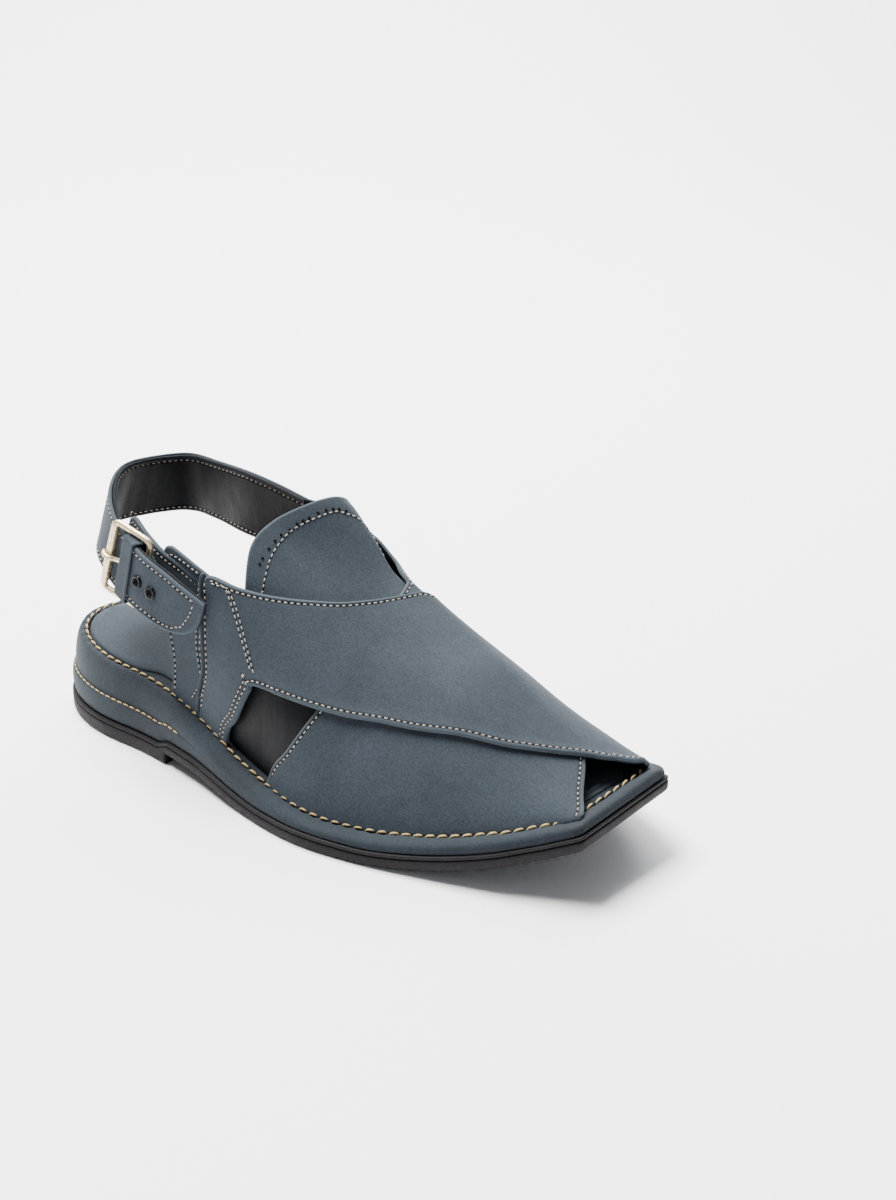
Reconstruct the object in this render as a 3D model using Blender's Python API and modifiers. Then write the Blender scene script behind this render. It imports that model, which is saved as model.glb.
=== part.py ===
"""Peshawari chappal, right foot: two crossed straps on a stitched wedge sole, with a buckled heel strap.

+X is the toe, +Y the medial (inner) side, +Z up. The origin is on the floor at the middle of the sole.
Sizes are in metres. Sections are tables whose lengths are shares of the driving sizes.
"""

import bmesh
import bpy
import numpy as np
from mathutils import Vector

# Driving sizes
SOLE_LENGTH = 0.300
BALL_WIDTH = 0.113
HEEL_HEIGHT = 0.040
INSTEP_HEIGHT = 0.0846
STRAP_HEIGHT = 0.117
TOE_SPRING = 0.0258
TOE_SLANT = 0.0054

# Sole build
HEEL_LIFT = 0.0087
OUTSOLE_THICKNESS = 0.0068
BREAST_STEP = 0.0050
OUTSOLE_GROOVE = 0.0007
WELT_STRIP = 0.0020
EDGE_ROUND = 0.0012
HEEL_LEDGE = 0.0017
LEDGE_FADE_START = 0.22
LEDGE_FADE_LENGTH = 0.16
RIM_INSET = 0.0100
RIM_GROOVE = 0.0006
INSOLE_THICKNESS = 0.0030
INSOLE_RECESS = 0.0024
INSOLE_CROWN = 0.0012
RECESS_INSET_HEEL = 0.0104
RECESS_INSET_WALL = 0.0146
RECESS_DRAFT = 0.0002
TRIM_MARGIN = 0.0060
TRIM_DEPTH = 0.0200

# Upper leather
UNDER_WALL = 0.0020
TOP_WALL = 0.0027
TOP_LIFT = 0.0018
SEAM_STEP = 0.0007
STRAP_STAND = 0.0062
GUSSET_WALL = 0.0015
TONGUE_WALL = 0.0022
CLEARANCE = 0.0003
LINING_DEPTH = 0.0030
TONGUE_DEPTH = 0.0027
TONGUE_RISE = 0.0095

# Heel strap and buckle
STRAP_THICKNESS = 0.0030
CHAPE_THICKNESS = 0.0010
KEEPER_THICKNESS = 0.0012
KEEPER_WIDTH = 0.0075
FLAP_WALL = 0.0020
BUCKLE_WIRE = 0.0028
BUCKLE_REACH = 0.0031
PRONG_WIRE = 0.0022
EYELET_RADIUS = 0.0030
EYELET_HOLE = 0.0015
EYELET_WALL = 0.0005
PRONG_SLOT = 0.0104
HOLE_SIDES = 14

# Sole outline and rim: along as a share of SOLE_LENGTH, half widths of BALL_WIDTH, rim of HEEL_HEIGHT
SOLE_COLUMNS = ("along", "lateral", "medial", "rim")
SOLE_ROWS = (
    (0.00, 0.366, 0.349, 1.000),
    (0.12, 0.366, 0.349, 0.910),
    (0.24, 0.372, 0.352, 0.835),
    (0.34, 0.418, 0.376, 0.700),
    (0.46, 0.492, 0.389, 0.452),
    (0.58, 0.542, 0.427, 0.296),
    (0.68, 0.518, 0.481, 0.290),
    (0.78, 0.454, 0.494, 0.395),
    (0.88, 0.380, 0.433, 0.600),
    (0.95, 0.311, 0.344, 0.790),
    (1.00, 0.263, 0.256, 0.955),
)
HEEL_ROUND = 0.20
HEEL_POWER = 2.2

# Places along the sole, as shares of SOLE_LENGTH
BREAST = 0.293
BREAST_GAP = 0.0006
ARCH_START = 0.05
ARCH_END = 0.52
SPRING_START = 0.675
SPRING_POWER = 1.8
SLANT_START = 0.82

# Midsole wrap, bottom to top: inset as a share of RIM_INSET, step in at the heel as a share of HEEL_LEDGE,
# rise as a share of the midsole's height and drop as a share of RIM_GROOVE
WRAP_ROWS = (
    (0.22, 0.00, 0.000, 0.0),
    (0.14, -0.24, 0.160, 0.0),
    (0.14, 0.00, 0.370, 0.0),
    (0.14, 1.00, 0.410, 0.0),
    (0.22, 1.00, 0.700, 0.0),
    (0.42, 0.47, 0.900, 0.0),
    (0.70, 0.00, 0.985, 0.0),
    (0.86, 0.00, 1.000, 1.0),
    (0.97, 0.00, 1.000, 0.0),
)

# Last: crest height as a share of INSTEP_HEIGHT, ridge shift of BALL_WIDTH, fullness is a plain exponent
LAST_COLUMNS = ("along", "crest", "ridge", "fullness")
LAST_ROWS = (
    (0.20, 2.060, -0.060, 2.60),
    (0.30, 1.765, -0.040, 2.55),
    (0.40, 1.501, 0.080, 2.30),
    (0.50, 1.241, 0.165, 2.05),
    (0.60, 1.000, 0.188, 1.90),
    (0.683, 0.874, 0.155, 1.75),
    (0.767, 0.790, 0.090, 1.62),
    (0.85, 0.629, 0.070, 1.70),
    (0.917, 0.515, 0.085, 1.92),
    (0.975, 0.460, 0.103, 2.10),
)

# Panels on the last: front along, front girth, rear along and rear girth. Along is a share of SOLE_LENGTH, and
# girth goes from 0 at the lateral rim to 1 at the medial rim
TOP_STRAP_ROWS = (
    (0.410, -0.030, 0.345, -0.030),
    (0.417, 0.020, 0.358, 0.020),
    (0.433, 0.060, 0.374, 0.065),
    (0.460, 0.108, 0.368, 0.140),
    (0.478, 0.128, 0.367, 0.189),
    (0.520, 0.151, 0.420, 0.228),
    (0.573, 0.178, 0.473, 0.272),
    (0.620, 0.200, 0.517, 0.317),
    (0.667, 0.222, 0.555, 0.368),
    (0.743, 0.250, 0.590, 0.444),
    (0.830, 0.300, 0.610, 0.540),
    (0.880, 0.365, 0.613, 0.640),
    (0.917, 0.439, 0.606, 0.740),
    (0.947, 0.505, 0.590, 0.830),
    (0.966, 0.600, 0.566, 0.910),
    (0.974, 0.800, 0.547, 0.975),
    (0.972, 1.030, 0.532, 1.030),
)
UNDER_STRAP_ROWS = (
    (0.420, 1.030, 0.350, 1.030),
    (0.424, 0.985, 0.360, 0.980),
    (0.437, 0.955, 0.377, 0.930),
    (0.450, 0.930, 0.368, 0.850),
    (0.467, 0.910, 0.364, 0.765),
    (0.520, 0.886, 0.405, 0.715),
    (0.580, 0.860, 0.452, 0.680),
    (0.640, 0.838, 0.494, 0.646),
    (0.700, 0.815, 0.534, 0.630),
    (0.765, 0.770, 0.566, 0.552),
    (0.825, 0.695, 0.590, 0.455),
    (0.880, 0.575, 0.600, 0.340),
    (0.920, 0.433, 0.592, 0.240),
    (0.944, 0.300, 0.573, 0.165),
    (0.960, 0.180, 0.545, 0.085),
    (0.966, 0.080, 0.517, 0.030),
    (0.966, -0.030, 0.500, -0.030),
)
# Rows of the under strap whose rear edge is the throat's medial rim
THROAT_FIRST = 4
THROAT_LAST = 10
REAR_LATERAL_ROWS = (
    (0.357, -0.030, 0.277, -0.030),
    (0.372, 0.022, 0.289, 0.022),
    (0.388, 0.065, 0.280, 0.060),
    (0.383, 0.130, 0.277, 0.120),
    (0.380, 0.190, 0.285, 0.170),
)
REAR_MEDIAL_ROWS = (
    (0.362, 1.030, 0.270, 1.030),
    (0.374, 0.980, 0.280, 0.980),
    (0.391, 0.930, 0.268, 0.930),
    (0.383, 0.850, 0.262, 0.880),
    (0.378, 0.745, 0.264, 0.823),
)
GUSSET_LATERAL_ROWS = (
    (0.525, -0.030, 0.400, -0.030),
    (0.560, 0.060, 0.410, 0.060),
    (0.590, 0.130, 0.428, 0.130),
    (0.600, 0.200, 0.450, 0.190),
)
GUSSET_MEDIAL_ROWS = (
    (0.555, 1.030, 0.402, 1.030),
    (0.580, 0.950, 0.408, 0.950),
    (0.600, 0.880, 0.424, 0.880),
    (0.610, 0.820, 0.440, 0.830),
)
TONGUE_ROWS = (
    (0.630, 0.300, 0.424, 0.222),
    (0.632, 0.370, 0.415, 0.300),
    (0.634, 0.430, 0.426, 0.385),
    (0.635, 0.480, 0.444, 0.465),
    (0.635, 0.530, 0.457, 0.535),
    (0.634, 0.590, 0.452, 0.610),
    (0.632, 0.650, 0.436, 0.695),
    (0.630, 0.700, 0.424, 0.790),
)

# How far pieces stand off the last, as (where it starts, how long it takes) in along or girth
STAND_ALONG = (0.595, 0.105)
STAND_CREST = (0.540, 0.100)
STAND_FOOT = (0.975, 0.100)
TOP_CLIMB = 0.10
TONGUE_ALONG = (0.585, 0.140)
TONGUE_CREST = (0.360, 0.160)
TONGUE_RIM = 0.110

# Heel strap, from the medial quarter round the heel to the tip: along, across and height of the top edge, then
# of the low edge. Along is a share of SOLE_LENGTH, across of the last's half width there, height of STRAP_HEIGHT
STRAP_ROWS = (
    (0.384, 0.785, 0.940, 0.376, 0.960, 0.690),
    (0.280, 0.852, 0.985, 0.267, 0.974, 0.712),
    (0.203, 0.960, 0.988, 0.183, 1.130, 0.728),
    (0.143, 0.880, 0.995, 0.115, 1.100, 0.736),
    (0.113, 0.000, 1.003, 0.075, 0.000, 0.745),
    (0.143, -0.640, 0.978, 0.118, -0.810, 0.732),
    (0.192, -1.000, 0.900, 0.167, -1.080, 0.680),
    (0.257, -1.180, 0.840, 0.240, -1.270, 0.622),
    (0.323, -1.120, 0.785, 0.303, -1.210, 0.570),
    (0.387, -1.020, 0.722, 0.367, -1.100, 0.520),
)
TIP_START = 0.86
TIP_CUT = 0.85
REAR_BAR_AT = 0.690
HINGE_BAR_AT = 0.780
PRONG_HOLE_AT = 0.722
CHAPE_END_AT = 0.890
FLAP_START_AT = 0.640
FLAP_END_AT = 0.930
FLAP_TOP = -0.06
FLAP_LOW = 0.80
FLAP_CORNER = 0.05
FLAP_NOSE = 0.55
EYELETS_AT = (0.793, 0.840)
CHAPE_EDGE = 0.14
CHAPE_NIP = (1.60, 0.55)
CHAPE_FLAT = 3.0
PRONG_BACK = 0.006
PRONG_DIVE = 0.010
PRONG_CLIMB = 0.013
PRONG_REST = 0.014
PRONG_TIP = 0.012

NAME = "peshawari_chappal"


def clear_scene():
    for item in list(bpy.data.objects):
        bpy.data.objects.remove(item)


def new_collection(name):
    group = bpy.data.collections.new(name)
    bpy.context.scene.collection.children.link(group)
    return group


def new_material(name, colour, roughness, metallic=0.0):
    material = bpy.data.materials.new(name)
    material.use_nodes = True
    shader = material.node_tree.nodes["Principled BSDF"]
    shader.inputs["Base Color"].default_value = (*colour, 1.0)
    shader.inputs["Roughness"].default_value = roughness
    shader.inputs["Metallic"].default_value = metallic
    return material


def smooth_table(rows, place):
    """Rows of numbers read at places 0 to 1 along the list, on a curve through every row."""
    rows = np.asarray(rows, float)
    count = len(rows)
    place = np.clip(np.asarray(place, float), 0.0, 1.0) * (count - 1)
    start = np.minimum(place.astype(int), count - 2)
    part = (place - start)[..., None]
    before = rows[np.maximum(start - 1, 0)]
    left = rows[start]
    right = rows[start + 1]
    after = rows[np.minimum(start + 2, count - 1)]
    slope_left = (right - before) / 2
    slope_right = (after - left) / 2
    return (
        (2 * part**3 - 3 * part**2 + 1) * left
        + (part**3 - 2 * part**2 + part) * slope_left
        + (3 * part**2 - 2 * part**3) * right
        + (part**3 - part**2) * slope_right
    )


def column(rows, columns, name, along):
    """One column of a table whose first column is the share along the sole."""
    table = np.asarray(rows, float)
    places = np.interp(along, table[:, 0], np.arange(len(table)) / (len(table) - 1))
    return smooth_table(table[:, [columns.index(name)]], places)[..., 0]


def ease(value):
    value = np.clip(value, 0.0, 1.0)
    return value * value * (3 - 2 * value)


def heel_rounding(along):
    short = np.clip((HEEL_ROUND - along) / HEEL_ROUND, 0.0, 1.0)
    return (1 - short**HEEL_POWER) ** (1 / HEEL_POWER)


def half_width(along, side):
    name = "medial" if side > 0 else "lateral"
    return BALL_WIDTH * column(SOLE_ROWS, SOLE_COLUMNS, name, along) * heel_rounding(along)


def rim_height(x):
    return HEEL_HEIGHT * column(SOLE_ROWS, SOLE_COLUMNS, "rim", x / SOLE_LENGTH)


def arch_and_spring(x):
    """How far the sole rises under the arch, and at the toe."""
    along = x / SOLE_LENGTH
    start = BREAST + ARCH_START
    arch = BREAST_STEP * (1 - ease((along - start) / (ARCH_END - start)))
    spring = TOE_SPRING * np.clip((along - SPRING_START) / (1 - SPRING_START), 0, None) ** SPRING_POWER
    return arch, spring


def sole_bottom(x):
    """Flat heel, a step up at the breast, the arch down to the ball, and the toe spring."""
    arch, spring = arch_and_spring(x)
    return np.where(x < BREAST * SOLE_LENGTH, 0.0, arch) + spring


def outsole_top(x):
    arch, spring = arch_and_spring(x)
    blend = ease((x / SOLE_LENGTH - BREAST + 0.02) / 0.03)
    return HEEL_LIFT * (1 - blend) + (arch + spring + OUTSOLE_THICKNESS) * blend


def sole_stations():
    """Shares of the length, close together at the round heel and on both sides of the breast."""
    heel = HEEL_ROUND * (1 - np.cos(np.linspace(0.06, np.pi / 2, 9)))
    waist = ((HEEL_ROUND + BREAST) / 2, BREAST - BREAST_GAP, BREAST + BREAST_GAP)
    arch = np.linspace(BREAST, ARCH_END, 7)[1:]
    front = np.linspace(ARCH_END, 1.0, 14)[1:]
    return np.concatenate([heel, waist, arch, front])


def outline(inset):
    """Lateral and medial edge points of the sole, heel to toe, moved in by inset."""
    along = sole_stations()
    x = along * SOLE_LENGTH
    slant = TOE_SLANT * ease((along - SLANT_START) / (1 - SLANT_START))
    lateral = np.column_stack([x - slant, -half_width(along, -1)])
    medial = np.column_stack([x, half_width(along, 1)])
    loop = np.concatenate([lateral, medial[::-1]])
    edge = np.roll(loop, -1, axis=0) - loop
    edge /= np.linalg.norm(edge, axis=1)[:, None]
    normal = np.column_stack([edge[:, 1], -edge[:, 0]])
    before = np.roll(normal, 1, axis=0)
    mitre = (normal + before) / (1 + (normal * before).sum(axis=1))[:, None]
    inset = np.broadcast_to(inset, along.shape)
    loop = loop - mitre * np.concatenate([inset, inset[::-1]])[:, None]
    return loop[: len(along)], loop[len(along) :][::-1]


def new_object(name, points, faces, group, material=None):
    mesh = bpy.data.meshes.new(name)
    mesh.from_pydata([tuple(point) for point in points], [], faces)
    mesh.update()
    item = bpy.data.objects.new(name, mesh)
    group.objects.link(item)
    if material:
        mesh.materials.append(material)
    return item


def face_outwards(item):
    form = bmesh.new()
    form.from_mesh(item.data)
    bmesh.ops.remove_doubles(form, verts=form.verts, dist=1e-6)
    bmesh.ops.recalc_face_normals(form, faces=form.faces)
    form.to_mesh(item.data)
    form.free()


def grid_faces(rows, columns, first=0):
    index = first + np.arange(rows * columns).reshape(rows, columns)
    corners = [index[:-1, :-1], index[1:, :-1], index[1:, 1:], index[:-1, 1:]]
    return np.stack(corners, axis=-1).reshape(-1, 4).tolist()


def sole_solid(name, rings, group, material, crown=0.0, across=5):
    """A solid from rings of (inset, height function), bottom to top, with caps laid rung by rung."""
    points = []
    loops = []
    for inset, height in rings:
        lateral, medial = outline(inset)
        loop = np.concatenate([lateral, medial[::-1]])
        loops.append(len(points) + np.arange(len(loop)))
        points.extend(np.column_stack([loop, height(loop[:, 0])]))
    faces = []
    for low, high in zip(loops[:-1], loops[1:]):
        for a, b, c, d in zip(low, np.roll(low, -1), np.roll(high, -1), high):
            faces.append((a, b, c, d))
    for ring, (inset, height), rise in ((loops[0], rings[0], 0.0), (loops[-1], rings[-1], crown)):
        count = len(ring) // 2
        columns = [ring[:count]]
        lateral, medial = outline(inset)
        for share in np.linspace(0, 1, across)[1:-1]:
            flat = lateral * (1 - share) + medial * share
            z = height(flat[:, 0]) + rise * (1 - (2 * share - 1) ** 2)
            columns.append(len(points) + np.arange(count))
            points.extend(np.column_stack([flat, z]))
        columns.append(ring[count:][::-1])
        for left, right in zip(columns[:-1], columns[1:]):
            for i in range(count - 1):
                faces.append((left[i], left[i + 1], right[i + 1], right[i]))
    faces += end_caps(loops, across)
    item = new_object(name, points, [tuple(int(i) for i in face) for face in faces], group, material)
    face_outwards(item)
    return item


def end_caps(loops, across):
    """Closes the slivers between each cap's end rungs, at heel and toe, and its columns."""
    faces = []
    count = len(loops[0]) // 2
    start = len(loops) * len(loops[0])
    for ring, first in ((loops[0], start), (loops[-1], start + (across - 2) * count)):
        for row in (0, count - 1):
            inner = [first + k * count + row for k in range(across - 2)]
            faces.append((ring[row], *inner, ring[2 * count - 1 - row]))
    return faces


def last_point(along, girth):
    """The last's surface: a superellipse across each section, carried straight down below the rim."""
    along, girth = np.broadcast_arrays(np.asarray(along, float), np.asarray(girth, float))
    x = along * SOLE_LENGTH
    crest = INSTEP_HEIGHT * column(LAST_ROWS, LAST_COLUMNS, "crest", along)
    ridge = BALL_WIDTH * column(LAST_ROWS, LAST_COLUMNS, "ridge", along)
    power = 2 / column(LAST_ROWS, LAST_COLUMNS, "fullness", along)
    base = rim_height(x)
    angle = np.clip(girth, 0, 1) * np.pi
    reach_lateral = half_width(along, -1) - RIM_INSET + ridge
    reach_medial = half_width(along, 1) - RIM_INSET - ridge
    across = np.sign(np.cos(angle)) * np.abs(np.cos(angle)) ** power
    up = np.abs(np.sin(angle)) ** power
    y = ridge - across * np.where(across > 0, reach_lateral, reach_medial)
    below = np.minimum(girth, 0) + np.minimum(1 - girth, 0)
    z = base + (crest - base) * up + below * 2 * BALL_WIDTH
    return np.stack([x, y, z], axis=-1)


def last_normal(along, girth):
    step = 0.004
    ahead = last_point(along + step, girth) - last_point(along - step, girth)
    round_step = 0.5 * step
    girth = np.clip(girth, round_step, 1 - round_step)
    turn = last_point(along, girth + round_step) - last_point(along, girth - round_step)
    normal = np.cross(ahead, turn)
    return normal / np.linalg.norm(normal, axis=-1, keepdims=True)


def panel_grid(rows, count, across):
    front_along, front_girth, rear_along, rear_girth = smooth_table(rows, np.linspace(0, 1, count)).T[..., None]
    share = np.linspace(0, 1, across)[None, :]
    along = front_along * (1 - share) + rear_along * share
    girth = front_girth * (1 - share) + rear_girth * share
    return along, girth


def panel(name, rows, count, across, lift, wall, group, material=None):
    """A leather panel on the last: its outer face lies lift above the surface, and the wall goes inwards."""
    along, girth = panel_grid(rows, count, across)
    points = last_point(along, girth) + last_normal(along, girth) * lift(along, girth)[..., None]
    item = new_object(name, points.reshape(-1, 3), grid_faces(count, across), group, material)
    turn_to(item, last_normal(along, girth).reshape(-1, 3))
    add_wall(item, wall, -1.0)
    return item


def turn_to(item, normals):
    """Flips the faces of an open surface where they look away from the wanted normals."""
    form = bmesh.new()
    form.from_mesh(item.data)
    form.faces.ensure_lookup_table()
    form.verts.ensure_lookup_table()
    form.normal_update()
    total = sum(face.normal.dot(Vector(normals[face.verts[0].index])) for face in form.faces)
    if total < 0:
        bmesh.ops.reverse_faces(form, faces=form.faces)
    form.to_mesh(item.data)
    form.free()


def add_wall(item, thickness, offset):
    wall = item.modifiers.new("wall", "SOLIDIFY")
    wall.thickness = thickness
    wall.offset = offset
    wall.use_even_offset = False


def combine(item, other, operation):
    cut = item.modifiers.new(other.name, "BOOLEAN")
    cut.operation = operation
    cut.solver = "EXACT"
    cut.object = other


def as_helper(item):
    item.hide_render = True
    item.display_type = "WIRE"
    return item


def strap_point(place, share, out):
    """The heel strap's middle surface: share 0 at its upper edge, 1 at its lower edge, out along its normal."""
    place, share = np.broadcast_arrays(np.asarray(place, float), np.asarray(share, float))

    def edge(along, across, height):
        reach = np.where(across > 0, half_width(along, 1), half_width(along, -1)) - RIM_INSET
        return np.stack([along * SOLE_LENGTH, reach * across, STRAP_HEIGHT * height], axis=-1)

    def at(where):
        row = np.moveaxis(smooth_table(STRAP_ROWS, where), -1, 0)
        return edge(*row[:3]), edge(*row[3:])

    top, low = at(place)
    ahead_top, ahead_low = at(place + 0.004)
    back_top, back_low = at(place - 0.004)
    part = share[..., None]
    middle = top * (1 - part) + low * part
    run = (ahead_top - back_top) * (1 - part) + (ahead_low - back_low) * part
    normal = np.cross(low - top, run)
    normal /= np.linalg.norm(normal, axis=-1, keepdims=True)
    return middle + normal * np.asarray(out)[..., None]


def strap_panel(name, places, low_share, top_share, out, wall, across, group, material=None):
    """A band on the strap's surface between two shares that may change along it."""
    share = np.linspace(0, 1, across)[None, :]
    shares = top_share[:, None] * (1 - share) + low_share[:, None] * share
    points = strap_point(places[:, None] + 0 * share, shares, out * np.ones_like(shares))
    normals = points - strap_point(places[:, None] + 0 * share, shares, out * np.ones_like(shares) - 0.001)
    item = new_object(name, points.reshape(-1, 3), grid_faces(len(places), across), group, material)
    turn_to(item, normals.reshape(-1, 3))
    add_wall(item, wall, 0.0)
    return item


def tube(name, points, radius, group, material, closed=False):
    curve = bpy.data.curves.new(name, "CURVE")
    curve.dimensions = "3D"
    curve.bevel_depth = radius
    curve.bevel_resolution = 2
    curve.use_fill_caps = not closed
    spline = curve.splines.new("POLY")
    spline.points.add(len(points) - 1)
    for spot, point in zip(spline.points, points):
        spot.co = (*point, 1.0)
    spline.use_cyclic_u = closed
    item = bpy.data.objects.new(name, curve)
    group.objects.link(item)
    curve.materials.append(material)
    return item


def outsole(group, material):
    def strip(x):
        return outsole_top(x) - WELT_STRIP

    def groove(x):
        return outsole_top(x) - WELT_STRIP * 0.8

    def low_side(x):
        return sole_bottom(x) + EDGE_ROUND

    rings = (
        (EDGE_ROUND, sole_bottom),
        (0.0, low_side),
        (0.0, strip),
        (OUTSOLE_GROOVE, groove),
        (EDGE_ROUND / 3, outsole_top),
    )
    return sole_solid("outsole", rings, group, material)


def midsole(group, material):
    along = sole_stations()
    heel_part = 1 - ease((along - LEDGE_FADE_START) / LEDGE_FADE_LENGTH)
    recess = recess_inset(along)

    def level(share, drop=0.0):
        def height(x):
            low = outsole_top(x) + CLEARANCE
            return low + share * (rim_height(x) - low) - drop

        return height

    rings = []
    for inset, step, rise, drop in WRAP_ROWS:
        rings.append((RIM_INSET * inset + HEEL_LEDGE * step * heel_part, level(rise, RIM_GROOVE * drop)))
    rings.append((recess, level(1.0)))
    rings.append((recess + RECESS_DRAFT, level(1.0, INSOLE_RECESS)))
    return sole_solid("midsole", rings, group, material)


def recess_inset(along):
    back = 1 - ease((along - 0.20) / 0.05)
    return RECESS_INSET_WALL + (RECESS_INSET_HEEL - RECESS_INSET_WALL) * back


def insole(group, material):
    recess = recess_inset(sole_stations()) + RECESS_DRAFT + CLEARANCE

    def bottom(x):
        return rim_height(x) - INSOLE_RECESS + CLEARANCE

    def shoulder(x):
        return top(x) - EDGE_ROUND * 0.75

    def top(x):
        return bottom(x) + INSOLE_THICKNESS

    rings = ((recess, bottom), (recess, shoulder), (recess + EDGE_ROUND, top))
    return sole_solid("insole", rings, group, material, crown=INSOLE_CROWN)


def floor_cutter(group):
    """Everything below the sole's rim surface, wider than the shoe, to trim the feet of the panels."""

    def deep(x):
        return np.full_like(x, -TRIM_DEPTH)

    def surface(x):
        return rim_height(x) + CLEARANCE

    rings = ((-TRIM_MARGIN, deep), (-TRIM_MARGIN, surface))
    return as_helper(sole_solid("rim_trim", rings, group, None, across=3))


def medial_stand(along, girth):
    """How far the medial wall stands off the last, from the heel strap's end to the throat's front corner."""
    start, length = STAND_ALONG
    crest, climb = STAND_CREST
    foot, fall = STAND_FOOT
    return STRAP_STAND * ease((start - along) / length) * ease((girth - crest) / climb) * ease((foot - girth) / fall)


def top_lift(along, girth):
    """The top strap climbs from the rim onto the under strap."""
    side = np.minimum(girth, 1 - girth)
    return SEAM_STEP + (TOP_LIFT - SEAM_STEP) * ease(side / TOP_CLIMB) + medial_stand(along, girth)


def quarter_lift(along, girth):
    """The medial quarter lies one leather's seam below the under strap."""
    return medial_stand(along, girth) - SEAM_STEP


def on_last(along, girth):
    return np.zeros_like(along)


def lining_lift(along, girth):
    return medial_stand(along, girth) - LINING_DEPTH


def tongue_lift(along, girth):
    """Under the upper all round, and standing up where it is free behind the throat."""
    rim = np.array(UNDER_STRAP_ROWS)[THROAT_FIRST : THROAT_LAST + 1, 2:]
    start, length = TONGUE_ALONG
    crest, climb = TONGUE_CREST
    inside = np.interp(along, rim[:, 0], rim[:, 1]) - girth
    free = ease((start - along) / length) * ease((girth - crest) / climb) * ease(inside / TONGUE_RIM)
    return TONGUE_RISE * free - TONGUE_DEPTH


def upper(group, helpers, trim, material):
    item = panel("upper", UNDER_STRAP_ROWS, 40, 8, medial_stand, UNDER_WALL, group, material)
    others = [
        panel("top_strap", TOP_STRAP_ROWS, 42, 8, top_lift, TOP_WALL, helpers),
        panel("rear_lateral", REAR_LATERAL_ROWS, 8, 6, on_last, UNDER_WALL, helpers),
        panel("rear_medial", REAR_MEDIAL_ROWS, 10, 8, quarter_lift, UNDER_WALL, helpers),
        buckle_flap(helpers),
    ]
    for other in others:
        combine(item, as_helper(other), "UNION")
    combine(item, trim, "DIFFERENCE")
    return item


def hinge_depth():
    """From the strap's middle in to the middle of the hinge bar, with the chape between them."""
    return STRAP_THICKNESS / 2 + CHAPE_THICKNESS + 2 * CLEARANCE + BUCKLE_WIRE / 2


def wrap_radius():
    return BUCKLE_WIRE / 2 + CLEARANCE + CHAPE_THICKNESS / 2


def flap_depth():
    """The outer face of the flap lies just inside the chape's turn round the hinge bar."""
    return hinge_depth() + wrap_radius() + CHAPE_THICKNESS / 2 + CLEARANCE


def buckle_flap(helpers):
    places = np.linspace(FLAP_START_AT, FLAP_END_AT, 9)
    corner = np.sqrt(1 - (1 - np.clip((places - FLAP_START_AT) / FLAP_CORNER, 0.0, 1)) ** 2)
    middle = (FLAP_TOP + FLAP_LOW) / 2
    half = (FLAP_LOW - FLAP_TOP) / 2 * (FLAP_NOSE + (1 - FLAP_NOSE) * corner)
    out = -(flap_depth() + FLAP_WALL / 2)
    return strap_panel("flap", places, middle + half, middle - half, out, FLAP_WALL, 6, helpers)


def gusset(name, rows, group, trim, material):
    item = panel(name, rows, 8, 6, lining_lift, GUSSET_WALL, group, material)
    combine(item, trim, "DIFFERENCE")
    return item


def heel_strap(group, helpers, material):
    places = np.linspace(0, 1, 46)
    tip = np.clip((places - TIP_START) / (1 - TIP_START), 0, 1)
    low = 1 - TIP_CUT * (1 - np.sqrt(1 - tip**2 * 0.999))
    item = strap_panel("heel_strap", places, low, 0 * places, 0.0, STRAP_THICKNESS, 5, group, material)
    radius = EYELET_HOLE + EYELET_WALL + CLEARANCE
    for number, place in enumerate(EYELETS_AT):
        combine(item, strap_hole(f"eyelet_hole_{number + 1}", place, radius, radius, helpers), "DIFFERENCE")
    slot = strap_hole("prong_slot", PRONG_HOLE_AT, PRONG_SLOT / 2, PRONG_WIRE / 2 + 2 * CLEARANCE, helpers)
    combine(item, slot, "DIFFERENCE")
    return item


def strap_hole(name, place, half_long, half_wide, helpers):
    """A cutter through the strap, round or stretched along it."""
    turn = np.linspace(0, 2 * np.pi, HOLE_SIDES, endpoint=False)
    places = place + half_long * np.cos(turn) / strap_run(place)
    shares = 0.5 + half_wide * np.sin(turn) / strap_width(place)
    inner = strap_point(places, shares, 0 * turn - STRAP_THICKNESS)
    outer = strap_point(places, shares, 0 * turn + STRAP_THICKNESS)
    low = list(range(HOLE_SIDES))
    high = [i + HOLE_SIDES for i in low]
    faces = [low, high]
    for i in low:
        j = (i + 1) % HOLE_SIDES
        faces.append([i, j, j + HOLE_SIDES, i + HOLE_SIDES])
    item = new_object(name, np.concatenate([inner, outer]), faces, helpers)
    face_outwards(item)
    return as_helper(item)


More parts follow.
